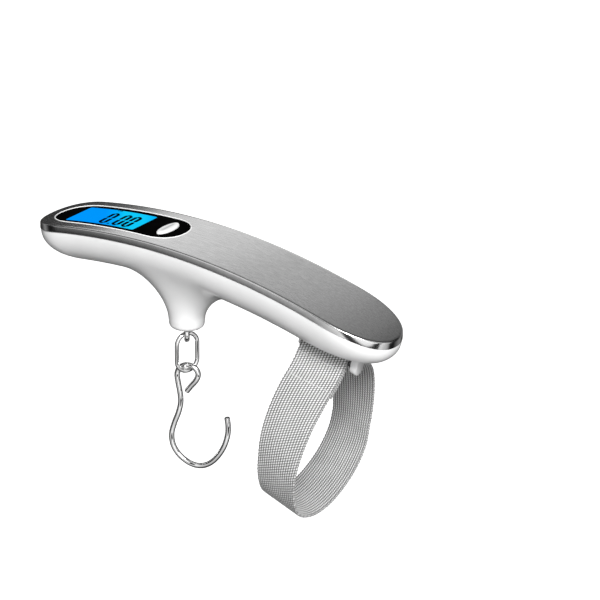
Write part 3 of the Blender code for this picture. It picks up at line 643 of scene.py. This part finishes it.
def make_display():
    """Glowing face in the lens, with three digits of plain bars, a point and a small mark of rising bars."""
    rings = [arch_ring(plan(WINDOW, FACE_GAP, 12, 30), drop) for drop in (LENS_TOP, FACE_BOTTOM)]
    face = loft("display_face", rings, DISPLAY)
    settle(face, "handle", "display_clear", "display_window")

    w, h = DIGIT_WIDTH, DIGIT_HEIGHT
    zero = [((0, h), (w, h)), ((w, h), (w, h / 2)), ((w, h / 2), (w, 0))]
    zero += [((w, 0), (0, 0)), ((0, 0), (0, h / 2)), ((0, h / 2), (0, h))]
    shapes = []
    for shift in DIGIT_SHIFTS:
        for start, end in zero:
            shapes.append(segment((start[0] + shift, start[1]), (end[0] + shift, end[1])))
    shapes.append(block(POINT_X, -0.5 * POINT_SIZE, POINT_SIZE, POINT_SIZE))
    for k in range(3):
        size = LEVEL_SIZE, LEVEL_SIZE + LEVEL_GROWTH * k
        shapes.append(block(LEVEL_PITCH * k + LEVEL_X, h + LEVEL_RISE, *size))
    top = LENS_TOP - INK_PROUD
    parts = [arch_plate(f"bar_{k}", shape, top, INK_THICK, DIGIT) for k, shape in enumerate(shapes)]
    digits = joined("display_digits", *parts)
    digits.data.materials.append(DIGIT)
    settle(digits, "handle", "black_bezel")


# Inset and drop over the button's domed top
DOME = (
    (2.2, 0.0), (1.7, 0.01), (1.1, 0.03), (0.7, 0.07),
    (0.42, 0.14), (0.2, 0.26), (0.05, 0.45), (0.0, 0.7),
)
FLANGE_DROP, FLANGE_WIDTH, FLANGE_THICK = 2.45, 0.7, 0.7


def make_button():
    """Satin oval cap with a softly domed top and a flange under the lens."""
    top, flange = crown(BUTTON_X) + BUTTON_RISE, crown(BUTTON_X) - FLANGE_DROP
    levels = [(inset, top - drop) for inset, drop in DOME]
    levels += [(0.0, flange), (-FLANGE_WIDTH, flange), (-FLANGE_WIDTH, flange - FLANGE_THICK)]
    rings = [flat_ring(plan(button_shape(inset), 0.0, 24, 2), z) for inset, z in levels]
    cap = loft("button_cap_fine", rings, SILVER, sharp=50.0)
    settle(cap, "button", "button_silver", "button_cap")


# -------------------------------- moulded shell


def inside(shape, x, y):
    """Whether points lie inside an outline. Arrays go in and come out."""
    left, right, half, left_cap, right_cap, power = shape
    ahead = np.maximum(x - (right - right_cap), 0.0) / right_cap
    behind = np.maximum((left + left_cap) - x, 0.0) / left_cap
    return np.maximum(ahead, behind) ** power + (np.abs(y) / half) ** power <= 1.0


# Moulding: how far its outer and inner faces stand in from the handle's outline, and its thickness
HULL_INSET, ROOM_INSET, WALL = 0.25, 0.9, 1.4
HULL_EASE = 0.07
# Stem: its flare into the hull, its rounded foot, and (radius, height) of its neck and bore
FLARE_ALONG, FLARE_ACROSS, FLARE_POWER = 19.0, 8.0, 1.25
FOOT_FLAT, FOOT_WIDTH, FOOT_HEIGHT = 5.0, 1.9, 2.0
NECK = (6.98, -34.9)
ROOM_RADIUS = 6.7
BORE = ((5.2, -29.0), (2.2, -31.5), (2.2, -36.3), (4.1, -36.3))
HULL_ROWS, FOOT_ROWS = 84, 7
HALVINGS = 34


def hull_shape(turn, inset, wall):
    """Outline of the underside at an angle from its shoulder, 0, to its lowest line, a right angle."""
    left, right, half, left_cap, right_cap, power = BODY
    cosine = np.maximum(np.cos(turn), 1e-5)
    edge = inset + wall
    return (
        left + edge + LEFT_SWEEP * (1.0 - cosine),
        right - edge - RIGHT_SWEEP * (1.0 - cosine),
        (half - edge) * cosine**0.8,
        np.maximum((left_cap - edge) * cosine**0.5, 1.0),
        np.maximum((right_cap - edge) * cosine**0.5, 1.0),
        power,
    )


def farthest(accepts, limit, like):
    """Largest value up to a limit that a test accepts, for every entry of an array's shape."""
    low, high = np.zeros_like(like), np.full_like(like, limit)
    for _ in range(HALVINGS):
        middle = 0.5 * (low + high)
        accepted = accepts(middle)
        low, high = np.where(accepted, middle, low), np.where(accepted, high, middle)
    return low


def hull_height(x, y, inset, wall):
    """Height of the underside at points of the plan."""
    turn = farthest(lambda turn: inside(hull_shape(turn, inset, wall), x, y), 0.5 * math.pi, x)
    return crown(x) - SHELL_TOP - (belly(x) - wall - SHELL_TOP) * np.sin(turn)


def reach(shape, cosine, sine):
    """Distance from the load axis to an outline in each direction."""
    return farthest(lambda r: inside(shape, r * cosine, r * sine), 130.0, cosine)


def with_stem(r, cosine, sine):
    """Height of the underside with the stem's flare, which runs out smoothly into the hull."""
    weight = cosine**2
    flare = FLARE_ALONG * weight + FLARE_ACROSS * (1.0 - weight)
    share = np.clip((r - STEM_RADIUS) / flare, 0.0, 1.0) ** FLARE_POWER
    root = hull_height(STEM_RADIUS * cosine, STEM_RADIUS * sine, HULL_INSET, 0.0)
    fade = 1.0 - np.sqrt(1.0 - (1.0 - share) ** 2)
    return hull_height(r * cosine, r * sine, HULL_INSET, 0.0) - (root - STEM_START) * fade


def shell_rows():
    """Rows of points from the stem's foot over the underside and the lip, and back inside to the bore."""
    outline = np.array(plan(BODY, HULL_INSET, 26, 110))
    turns = np.arctan2(outline[:, 1], outline[:, 0])
    cosine, sine = np.cos(turns), np.sin(turns)
    rows = []

    def ring(radius, z):
        radius = np.broadcast_to(radius, cosine.shape)
        rows.append(np.stack([radius * cosine, radius * sine, np.broadcast_to(z, cosine.shape)], axis=1))

    def edge_ring(inset, drop):
        radius = reach(grown(BODY, inset), cosine, sine)
        ring(radius, crown(radius * cosine) - drop)

    ring(BORE[-1][0], STEM_BOTTOM)
    low = STEM_BOTTOM + FOOT_HEIGHT
    for step in range(FOOT_ROWS):
        turn = 0.5 * math.pi * step / (FOOT_ROWS - 1)
        ring(FOOT_FLAT + FOOT_WIDTH * math.sin(turn), low - FOOT_HEIGHT * math.cos(turn))
    ring(*NECK)
    far = reach(grown(BODY, HULL_INSET), cosine, sine)
    for step in range(HULL_ROWS):
        share = 0.5 * (1.0 - math.cos(math.pi * step / (HULL_ROWS - 1)))
        r = STEM_RADIUS + (far - STEM_RADIUS) * share * (1.0 - 1e-6)
        ring(r, with_stem(r, cosine, sine))
    edge_ring(HULL_INSET + HULL_EASE, SHELL_TOP - HULL_EASE)
    edge_ring(LIP_OUTER, SHELL_TOP - HULL_EASE)
    edge_ring(LIP_OUTER, LIP_TOP)
    edge_ring(LIP_INNER, LIP_TOP)
    far = reach(grown(BODY, LIP_INNER), cosine, sine)
    for step in range(HULL_ROWS // 2):
        share = math.cos(0.5 * math.pi * step / (HULL_ROWS // 2 - 1))
        r = ROOM_RADIUS + (far - ROOM_RADIUS) * share * (1.0 - 1e-6)
        ring(r, hull_height(r * cosine, r * sine, ROOM_INSET, WALL))
    for radius, z in BORE:
        ring(radius, z)
    return rows


def shell_solid(name):
    """Solid of the whole moulding, closed round through its bore."""
    rows = shell_rows()
    count = len(rows[0])
    faces = []
    for j in range(len(rows)):
        faces += strip(j * count, (j + 1) % len(rows) * count, count)
    return piece(name, np.concatenate(rows), faces, WHITE)


def pin_frame(from_end):
    """Frame on the strap pin, at a distance back from its right end; local X runs along the pin."""
    along = Vector((math.cos(PIN_TILT), 0.0, -math.sin(PIN_TILT)))
    return Matrix.Translation(PIN_END - along * from_end) @ Matrix.Rotation(PIN_TILT, 4, "Y")


# Strap lugs: distance of their right face from the pin's right end, thickness and radius
LUGS = {"lug_right": (0.0, 3.0, 3.0), "lug_left": (23.7, 1.1, 1.7)}
LUG_ROOT, LUG_EASE, LUG_STEPS = 8.0, 0.45, 24
SCREW_HOLE, HEAD_HOLE, HEAD_SINK = 1.35, 2.2, 3.2
PIN_PROUD, PIN_GAP, PIN_CHAMFER = 2.0, 0.25, 0.25
DOOR_CUT = (-30.0, -9.0)


def pin_seat():
    """Frame at the pin's right end whose local Z runs out along the pin."""
    return pin_frame(0.0) @ Matrix.Rotation(math.radians(90.0), 4, "Y")


def lug(name, from_end, thick, radius):
    """Rounded tab round the strap pin, with eased edges."""
    rings = []
    for along, inset in ((0.0, LUG_EASE), (0.3 * LUG_EASE, 0.3 * LUG_EASE), (LUG_EASE, 0.0)):
        rings.append((along, radius - inset))
    rings += [(thick - along, r) for along, r in reversed(rings)]
    turns = [-math.pi * k / LUG_STEPS for k in range(LUG_STEPS + 1)]
    points = []
    for along, r in rings:
        outline = [(r, LUG_ROOT)] + [(r * math.cos(t), r * math.sin(t)) for t in turns] + [(-r, LUG_ROOT)]
        points += [pin_frame(from_end) @ Vector((along, y, z)) for y, z in outline]
    count = len(turns) + 2
    faces = [tuple(range(count)), tuple(range(len(points) - count, len(points)))]
    for j in range(len(rings) - 1):
        faces += strip(j * count, (j + 1) * count, count)
    return piece(name, points, faces, WHITE)


def screw_seat(x, y):
    """Height of the flat that a housing screw's head bears on, above the hull's face there."""
    left, right, half = BODY[:3]
    across = min((abs(y) / half) ** 1.25, 1.0)
    ends = max(1.0 - (x - left) / LEFT_SWEEP, 1.0 - (right - x) / RIGHT_SWEEP, across)
    depth = (belly(x) - SHELL_TOP) * math.sqrt(1.0 - min(ends, 0.95) ** 2)
    return crown(x) - SHELL_TOP - depth + HEAD_SINK


def make_shell():
    """One moulding: hull, stem and strap lugs, with the battery opening and the screw holes."""
    shell = shell_solid("white_shell")
    lugs = [lug(name, *sizes) for name, sizes in LUGS.items()]
    boolean(shell, joined("lugs", *lugs), "UNION")
    cutters = [prism("door_opening", DOOR, *DOOR_CUT, cap_steps=10, side_steps=6)]
    above, below = 6.0, -60.0
    for index, (x, y) in enumerate(CASE_SCREWS):
        seat = screw_seat(x, y)
        profile = [(0.0, above), (SCREW_HOLE, above), (SCREW_HOLE, seat)]
        profile += [(HEAD_HOLE, seat), (HEAD_HOLE, below), (0.0, below)]
        cutters.append(turned(f"screw_hole_{index}", profile, WHITE, Matrix.Translation((x, y, 0.0)), 32))
    hole, near, far = PIN_RADIUS + PIN_GAP, PIN_PROUD, -30.0
    profile = [(0.0, near), (hole, near), (hole, far), (0.0, far)]
    cutters.append(turned("pin_hole", profile, WHITE, pin_seat(), 32))
    boolean(shell, joined("shell_cutters", *cutters))
    shade(shell, 32.0)
    settle(shell, "handle", "white_shell", "lower_shell")


NOTCH, NOTCH_X, NOTCH_DEPTH = (-29.4, -28.2, 4.0, 0.5, 0.5, 2.0), -29.0, 0.5
RIDGES, RIDGE_START, RIDGE_PITCH, RIDGE_HALF, RIDGE_SPAN = 3, -44.6, 1.5, 0.35, 4.2
RIDGE_PROFILE = ((0.2, -0.22), (0.06, -0.14), (0.0, 0.0), (0.0, 0.6))


def make_battery_door():
    """Door cut from the hull itself, with a finger notch and a row of grip ridges."""
    door = shell_solid("battery_door_fine")
    boolean(door, prism("door_outline", DOOR, *DOOR_CUT, DOOR_GAP, cap_steps=10, side_steps=6), "INTERSECT")
    notch_floor = crown(NOTCH_X) - belly(NOTCH_X) + NOTCH_DEPTH
    boolean(door, prism("door_notch", NOTCH, DOOR_CUT[0], notch_floor, cap_steps=4, side_steps=2))
    shade(door, 32.0)
    settle(door, "door", "white_shell", "battery_door")
    ridges = []
    for k in range(RIDGES):
        x = RIDGE_START + RIDGE_PITCH * k
        low = crown(x) - belly(x)
        shape = (x - RIDGE_HALF, x + RIDGE_HALF, RIDGE_SPAN, RIDGE_HALF, RIDGE_HALF, 2.0)
        rings = [flat_ring(plan(shape, i, 6, 2), low + d) for i, d in RIDGE_PROFILE]
        ridges.append(loft(f"ridge_{k}", rings, WHITE))
    grip = joined("door_grip", *ridges)
    grip.data.materials.append(WHITE)
    shade(grip)
    settle(grip, "door", "white_shell")


# -------------------------------- load path


EYE_STEPS, LINK_STEPS = 56, 44
SHANK_TOP, SHANK_RADIUS, SHANK_CHAMFER = -5.2, 1.5, 0.3
SHANK_NECK = ((SHANK_RADIUS, -37.6), (1.3, -37.9))
HOOK_EASE = 0.2


def make_load_bolt():
    """Eye of bent wire on a plain shank that narrows into it."""
    circle = []
    for k in range(EYE_STEPS):
        turn = 2.0 * math.pi * k / EYE_STEPS
        circle.append(upright(EYE_ANGLE, EYE_RADIUS * math.sin(turn), EYE_Z + EYE_RADIUS * math.cos(turn)))
    eye = wire("eye_bolt", circle, EYE_WIRE, CHROME, closed=True)
    low = EYE_Z + EYE_RADIUS - 0.2
    shank = [(0.0, SHANK_TOP), (SHANK_RADIUS - SHANK_CHAMFER, SHANK_TOP)]
    shank += [(SHANK_RADIUS, SHANK_TOP - SHANK_CHAMFER), *SHANK_NECK, (1.1, low), (0.0, low)]
    boolean(eye, turned("bolt_shank", shank, CHROME), "UNION")
    shade(eye, 40.0)
    settle(eye, "bolt", "chrome_wire", "load_bolt")


def make_link():
    """Long link: two half circles joined by straight sides."""
    straight = LINK_TOP - LINK_BOTTOM - 2.0 * LINK_RADIUS
    points = []
    for k in range(LINK_STEPS):
        turn = 2.0 * math.pi * (k + 0.5) / LINK_STEPS
        shift = -LINK_RADIUS if math.cos(turn) > 0 else -LINK_RADIUS - straight
        height = LINK_TOP + shift + LINK_RADIUS * math.cos(turn)
        points.append(upright(LINK_ANGLE, LINK_RADIUS * math.sin(turn), height))
    chain_link = wire("chain_link_fine", points, LINK_WIRE, CHROME, closed=True)
    settle(chain_link, "link", "chrome_wire", "chain_link")


def make_hook():
    """Hook of one bent wire with eased ends."""
    curve = spline([upright(HOOK_ANGLE, across, z) for across, z in HOOK_LINE], 6)
    radii = [HOOK_WIRE] * len(curve)
    radii[0] = radii[-1] = 0.8 * HOOK_WIRE
    # A full ring just inside each end keeps the taper short.
    for end, inner in ((0, 1), (-1, -2)):
        along = (curve[end] - curve[inner]).normalized()
        curve.insert(len(curve) - 1 if end else 1, curve[end] - along * HOOK_EASE)
        radii.insert(1, HOOK_WIRE)
    settle(wire("hook_fine", curve, radii, CHROME), "hook", "chrome_wire", "load_hook")


def make_pin():
    """Round strap pin with chamfered ends."""
    high, low, end = PIN_PROUD, PIN_PROUD - PIN_LENGTH, PIN_RADIUS - PIN_CHAMFER
    profile = [(0.0, high), (end, high), (PIN_RADIUS, high - PIN_CHAMFER), (PIN_RADIUS, low + PIN_CHAMFER)]
    profile += [(end, low), (0.0, low)]
    settle(turned("strap_pin_fine", profile, PIN_STEEL, pin_seat()), "handle", "pin_steel", "strap_pin")


# -------------------------------- strap


RIB_PITCH = STRAP_WIDTH / 18.0
YARN_PITCH = 0.98
WEAVE_HEIGHT = 0.18
NECK_IN, NECK_SPAN = 2.0, 20.0
SELVEDGE, SELVEDGE_WAVE = 0.5, 0.14
ACROSS_STEPS = 108
ALONG_STEP = 0.2
HEM_SPAN, HEM_GAP = (5.0, 17.5), 0.12
STITCH_ROWS, STITCH_SHIFT = (6.4, 16.0), 0.5
STITCHES, STITCH_PITCH, STITCH_HALF, STITCH_WIRE = 11, 1.95, 0.36, 0.15
# Shares of a stitch's half length, and heights over the strap's middle
STITCH_LINE = ((-1.0, 0.35), (-0.6, 0.62), (0.0, 0.68), (0.6, 0.62), (1.0, 0.35))


def strap_across(depth):
    """Width direction of the strap at a share of its depth below the pin."""
    tilt = STRAP_TILT[0] + (STRAP_TILT[1] - STRAP_TILT[0]) * min(depth * 3.0, 1.0)
    twist = STRAP_TWIST * min(depth * 1.6, 1.0)
    return Vector((math.cos(twist) * math.cos(tilt), math.sin(twist) * math.cos(tilt), -math.sin(tilt)))


def strap_line():
    """Evenly spaced middle of the strap, its directions across and outwards, its stations and its length."""
    pin_z = PIN_END.z + (PIN_END.x - STRAP_MID_X) * math.tan(PIN_TILT)
    lowest = min(z for _, z in STRAP_LOOP)
    curve = spline([(0.0, y, z) for y, z in STRAP_LOOP], 40, closed=True)
    line = []
    for point in curve:
        depth = min(max(point.z / lowest, 0.0), 1.0)
        line.append((STRAP_MID_X + STRAP_DRIFT * depth, point.y, pin_z + point.z, *strap_across(depth)))
    line = np.array(line + line[:1])
    spans = np.linalg.norm(np.diff(line[:, :3], axis=0), axis=1)
    reached = np.concatenate([[0.0], np.cumsum(spans)])
    length = reached[-1]
    count = int(round(length / ALONG_STEP))
    at = np.arange(count) * length / count
    even = np.stack([np.interp(at, reached, line[:, c]) for c in range(6)], axis=1)
    middle, across = even[:, :3], even[:, 3:]
    across /= np.linalg.norm(across, axis=1, keepdims=True)
    along = np.roll(middle, -1, axis=0) - np.roll(middle, 1, axis=0)
    along /= np.linalg.norm(along, axis=1, keepdims=True)
    out = np.cross(across, along)
    out /= np.linalg.norm(out, axis=1, keepdims=True)
    return middle, across, out, at, length


def weave(u, v):
    """Height of the weave, 0 to 1: rope-like ribs along the strap, each crossed by slanting yarns."""
    rib = np.abs(np.cos(math.pi * u / RIB_PITCH)) ** 0.8
    slant = 0.5 + 0.5 * np.cos(2.0 * math.pi * (v / YARN_PITCH + 0.6 * u / RIB_PITCH))
    return rib * (0.3 + 0.7 * slant**0.8)


def woven_band(name, middle, across, out, at, length, shift, closed):
    """Woven band: ribs on both faces, looped selvedges, and drawn in on its left where it passes the pin."""
    half = 0.5 * STRAP_WIDTH
    u = np.linspace(-half, half, ACROSS_STEPS + 1)
    rim = np.clip((half - np.abs(u)) / SELVEDGE, 0.0, 1.0)
    thick = 0.5 * STRAP_THICK * (0.35 + 0.65 * np.sqrt(1.0 - (1.0 - rim) ** 2))
    grid_u, grid_v = np.meshgrid(u, at)
    height = weave(grid_u, grid_v)
    drawn = NECK_IN * np.exp(-((np.minimum(at, length - at) / NECK_SPAN) ** 2))[:, None]
    wave = np.cos(2.0 * math.pi * grid_v / (1.5 * YARN_PITCH)) - 1.0
    loops = SELVEDGE_WAVE * wave * (grid_u / half) ** 9
    grid_u = half - (half - grid_u) * (1.0 - drawn / STRAP_WIDTH) + loops
    faces_of = []
    for side in (1.0, -1.0):
        rise = side * (thick[None, :] - WEAVE_HEIGHT * (1.0 - height) * rim[None, :]) + shift
        flat = middle[:, None, :] + across[:, None, :] * grid_u[..., None]
        points = flat + out[:, None, :] * rise[..., None]
        faces_of.append(points if side > 0 else points[:, ::-1])
    grid = np.concatenate(faces_of, axis=1)
    # Painted shade and highlight of the weave, with less painted highlight towards the selvedges.
    painted_weave_light = height * (0.55 + 0.45 * rim[None, :])
    tone = np.concatenate([painted_weave_light, painted_weave_light[:, ::-1]], axis=1)
    rows, count = grid.shape[:2]
    faces = []
    for j in range(rows if closed else rows - 1):
        faces += strip(j * count, (j + 1) % rows * count, count)
    if not closed:
        faces += [tuple(range(count))[::-1], tuple(range((rows - 1) * count, rows * count))]
    band = piece(name, grid.reshape(-1, 3), faces, WEBBING, sharp=60.0)
    attribute = band.data.attributes.new("weave", "FLOAT", "POINT")
    attribute.data.foreach_set("value", tone.reshape(-1).astype(np.float32))
    return band


def make_strap():
    """The webbing loop, its hem and the stitches that hold the hem."""
    middle, across, out, at, length = strap_line()
    strap = woven_band("webbing_strap", middle, across, out, at, length, 0.0, True)
    settle(strap, "strap", "webbing_grey", "strap_loop")
    near = (at > HEM_SPAN[0]) & (at < HEM_SPAN[1])
    span = middle[near], across[near], out[near], at[near]
    hem = woven_band("strap_hem", *span, length, STRAP_THICK + HEM_GAP, False)
    settle(hem, "strap", "webbing_grey")
    stitches = []
    for row in STITCH_ROWS:
        k = int(np.searchsorted(at, row))
        for j in range(STITCHES):
            centre = (j - 0.5 * (STITCHES - 1)) * STITCH_PITCH + STITCH_SHIFT
            line = []
            for step, rise in STITCH_LINE:
                shift = centre + STITCH_HALF * STITCH_PITCH * step
                line.append(middle[k] + across[k] * shift - out[k] * rise)
            stitches.append(wire("stitch", line, STITCH_WIRE, THREAD, sides=8))
    thread = joined("strap_stitches", *stitches)
    thread.data.materials.append(THREAD)
    shade(thread)
    settle(thread, "strap", "webbing_grey")


# -------------------------------- studio


CAMERA_AZIMUTH, CAMERA_ELEVATION = math.radians(33.08), math.radians(19.92)
CAMERA_DISTANCE, CAMERA_LENS = 924.8, 147.3
FOCUS = Vector((14.74, 0.0, 0.62))
AIM_RIGHT, AIM_DOWN = 30.5, 22.8

# Floor and lights, in metres and watts
FLOOR_Z, FLOOR_HALF = -0.75, 12.0
LIGHT_DISTANCE = 1.4
KEY_AZIMUTH, KEY_ELEVATION, KEY_SIZE, KEY_POWER = 42.0, 38.0, (0.6, 0.5), 21.5
FRONT_ELEVATION, ROOM_STRENGTH = 20.0, 0.75
BACK_AZIMUTH = 208.0
# Bands of the graded box behind the object: middle elevation, width, height and radiance
BACK_BANDS = (
    (21.8, 0.75, 0.205, 0.86),
    (28.25, 0.78, 0.11, 0.68),
    (32.95, 0.95, 0.12, 0.32),
    (37.2, 1.15, 0.1, 0.2),
)


def make_camera():
    """Camera on the focus, turned to put the object off the picture's centre as in the photo."""
    a, e = CAMERA_AZIMUTH, CAMERA_ELEVATION
    forward = Vector((-math.sin(a) * math.cos(e), math.cos(a) * math.cos(e), -math.sin(e)))
    right = Vector((math.cos(a), math.sin(a), 0.0))
    up = right.cross(forward)
    data = bpy.data.cameras.new("camera")
    data.lens, data.sensor_width = CAMERA_LENS, 36.0
    data.clip_start, data.clip_end = 0.05, 50.0
    camera = bpy.data.objects.new("camera", data)
    bpy.context.scene.collection.objects.link(camera)
    camera.location = (FOCUS - forward * CAMERA_DISTANCE) * MM
    aim = (FOCUS + right * AIM_RIGHT - up * AIM_DOWN) * MM
    turn = forward.rotation_difference(aim - camera.location)
    camera.rotation_euler = (turn @ forward.to_track_quat("-Z", "Y")).to_euler()
    bpy.context.scene.camera = camera


def make_floor():
    """Plain pale floor that neither lights the object nor shows in its reflections."""
    made, tree, shader = new_material("pale_floor")
    cloud = noise(tree, place(tree), 0.004, 2.0)
    tree.links.new(ramp(tree, cloud, (0.3, 0.9), (0.7, 0.93)), shader.inputs["Base Color"])
    shader.inputs["Roughness"].default_value = 0.8
    shader.inputs["Emission Color"].default_value = (1.0, 1.0, 1.0, 1.0)
    shader.inputs["Emission Strength"].default_value = 0.85
    side = FLOOR_HALF
    mesh = bpy.data.meshes.new("floor")
    corners = [(-side, -side, 0), (side, -side, 0), (side, side, 0), (-side, side, 0)]
    mesh.from_pydata(corners, [], [(0, 1, 2, 3)])
    mesh.materials.append(made)
    floor = bpy.data.objects.new("floor", mesh)
    floor.location.z = FLOOR_Z
    bpy.context.scene.collection.objects.link(floor)
    floor.visible_diffuse = False
    floor.visible_glossy = False


def toward(azimuth, elevation):
    """Unit direction out from the object. Azimuth 0 is straight ahead (-Y) and 90 is +X."""
    a, e = math.radians(azimuth), math.radians(elevation)
    return Vector((math.sin(a) * math.cos(e), -math.cos(a) * math.cos(e), math.sin(e)))


def make_light(name, azimuth, elevation, size, power):
    """Rectangular soft light that faces the object and that the camera doesn't see."""
    data = bpy.data.lights.new(name, "AREA")
    data.shape = "RECTANGLE"
    data.size, data.size_y = size
    data.energy = power
    light = bpy.data.objects.new(name, data)
    bpy.context.scene.collection.objects.link(light)
    light.location = toward(azimuth, elevation) * LIGHT_DISTANCE
    light.rotation_euler = (-light.location).to_track_quat("-Z", "Y").to_euler()
    light.visible_camera = False


def make_studio():
    """Soft room, brightest in front and banded at the sides, with a key light and a graded box behind."""
    world = bpy.data.worlds.new("studio")
    bpy.context.scene.world = world
    world.use_nodes = True
    tree = world.node_tree
    direction = add(tree, "ShaderNodeTexCoord").outputs["Generated"]
    ahead = toward(KEY_AZIMUTH, FRONT_ELEVATION)
    facing = add(tree, "ShaderNodeVectorMath", {"operation": "DOT_PRODUCT"}, i0=direction, i1=ahead)
    share = add(tree, "ShaderNodeMapRange", Value=facing.outputs["Value"], i1=-1.0, i2=1.0).outputs["Result"]
    # Brightness by direction, from straight behind the object, 0, to straight in front of it, 1
    back = ((0.0, 0.04), (0.12, 0.08), (0.24, 0.34), (0.31, 0.2), (0.4, 0.01))
    side = ((0.54, 0.02), (0.6, 0.55), (0.7, 0.85), (0.79, 1.3), (0.8, 0.02), (0.87, 0.02))
    front = ((0.885, 1.5), (1.0, 1.5))
    tree.links.new(ramp(tree, share, *back, *side, *front), tree.nodes["Background"].inputs["Color"])
    tree.nodes["Background"].inputs["Strength"].default_value = ROOM_STRENGTH
    make_light("key", KEY_AZIMUTH, KEY_ELEVATION, KEY_SIZE, KEY_POWER)
    for elevation, width, height, radiance in BACK_BANDS:
        power = radiance * math.pi * width * height
        make_light(f"back_{round(elevation)}", BACK_AZIMUTH, elevation, (width, height), power)
    bpy.context.scene.view_settings.view_transform = "Standard"


make_camera()
make_studio()
make_floor()
dress_carried_nodes()
make_top_cover()
make_bezel()
make_lens_ring()
make_display()
make_button()
make_shell()
make_battery_door()
make_load_bolt()
make_link()
make_hook()
make_pin()
make_strap()
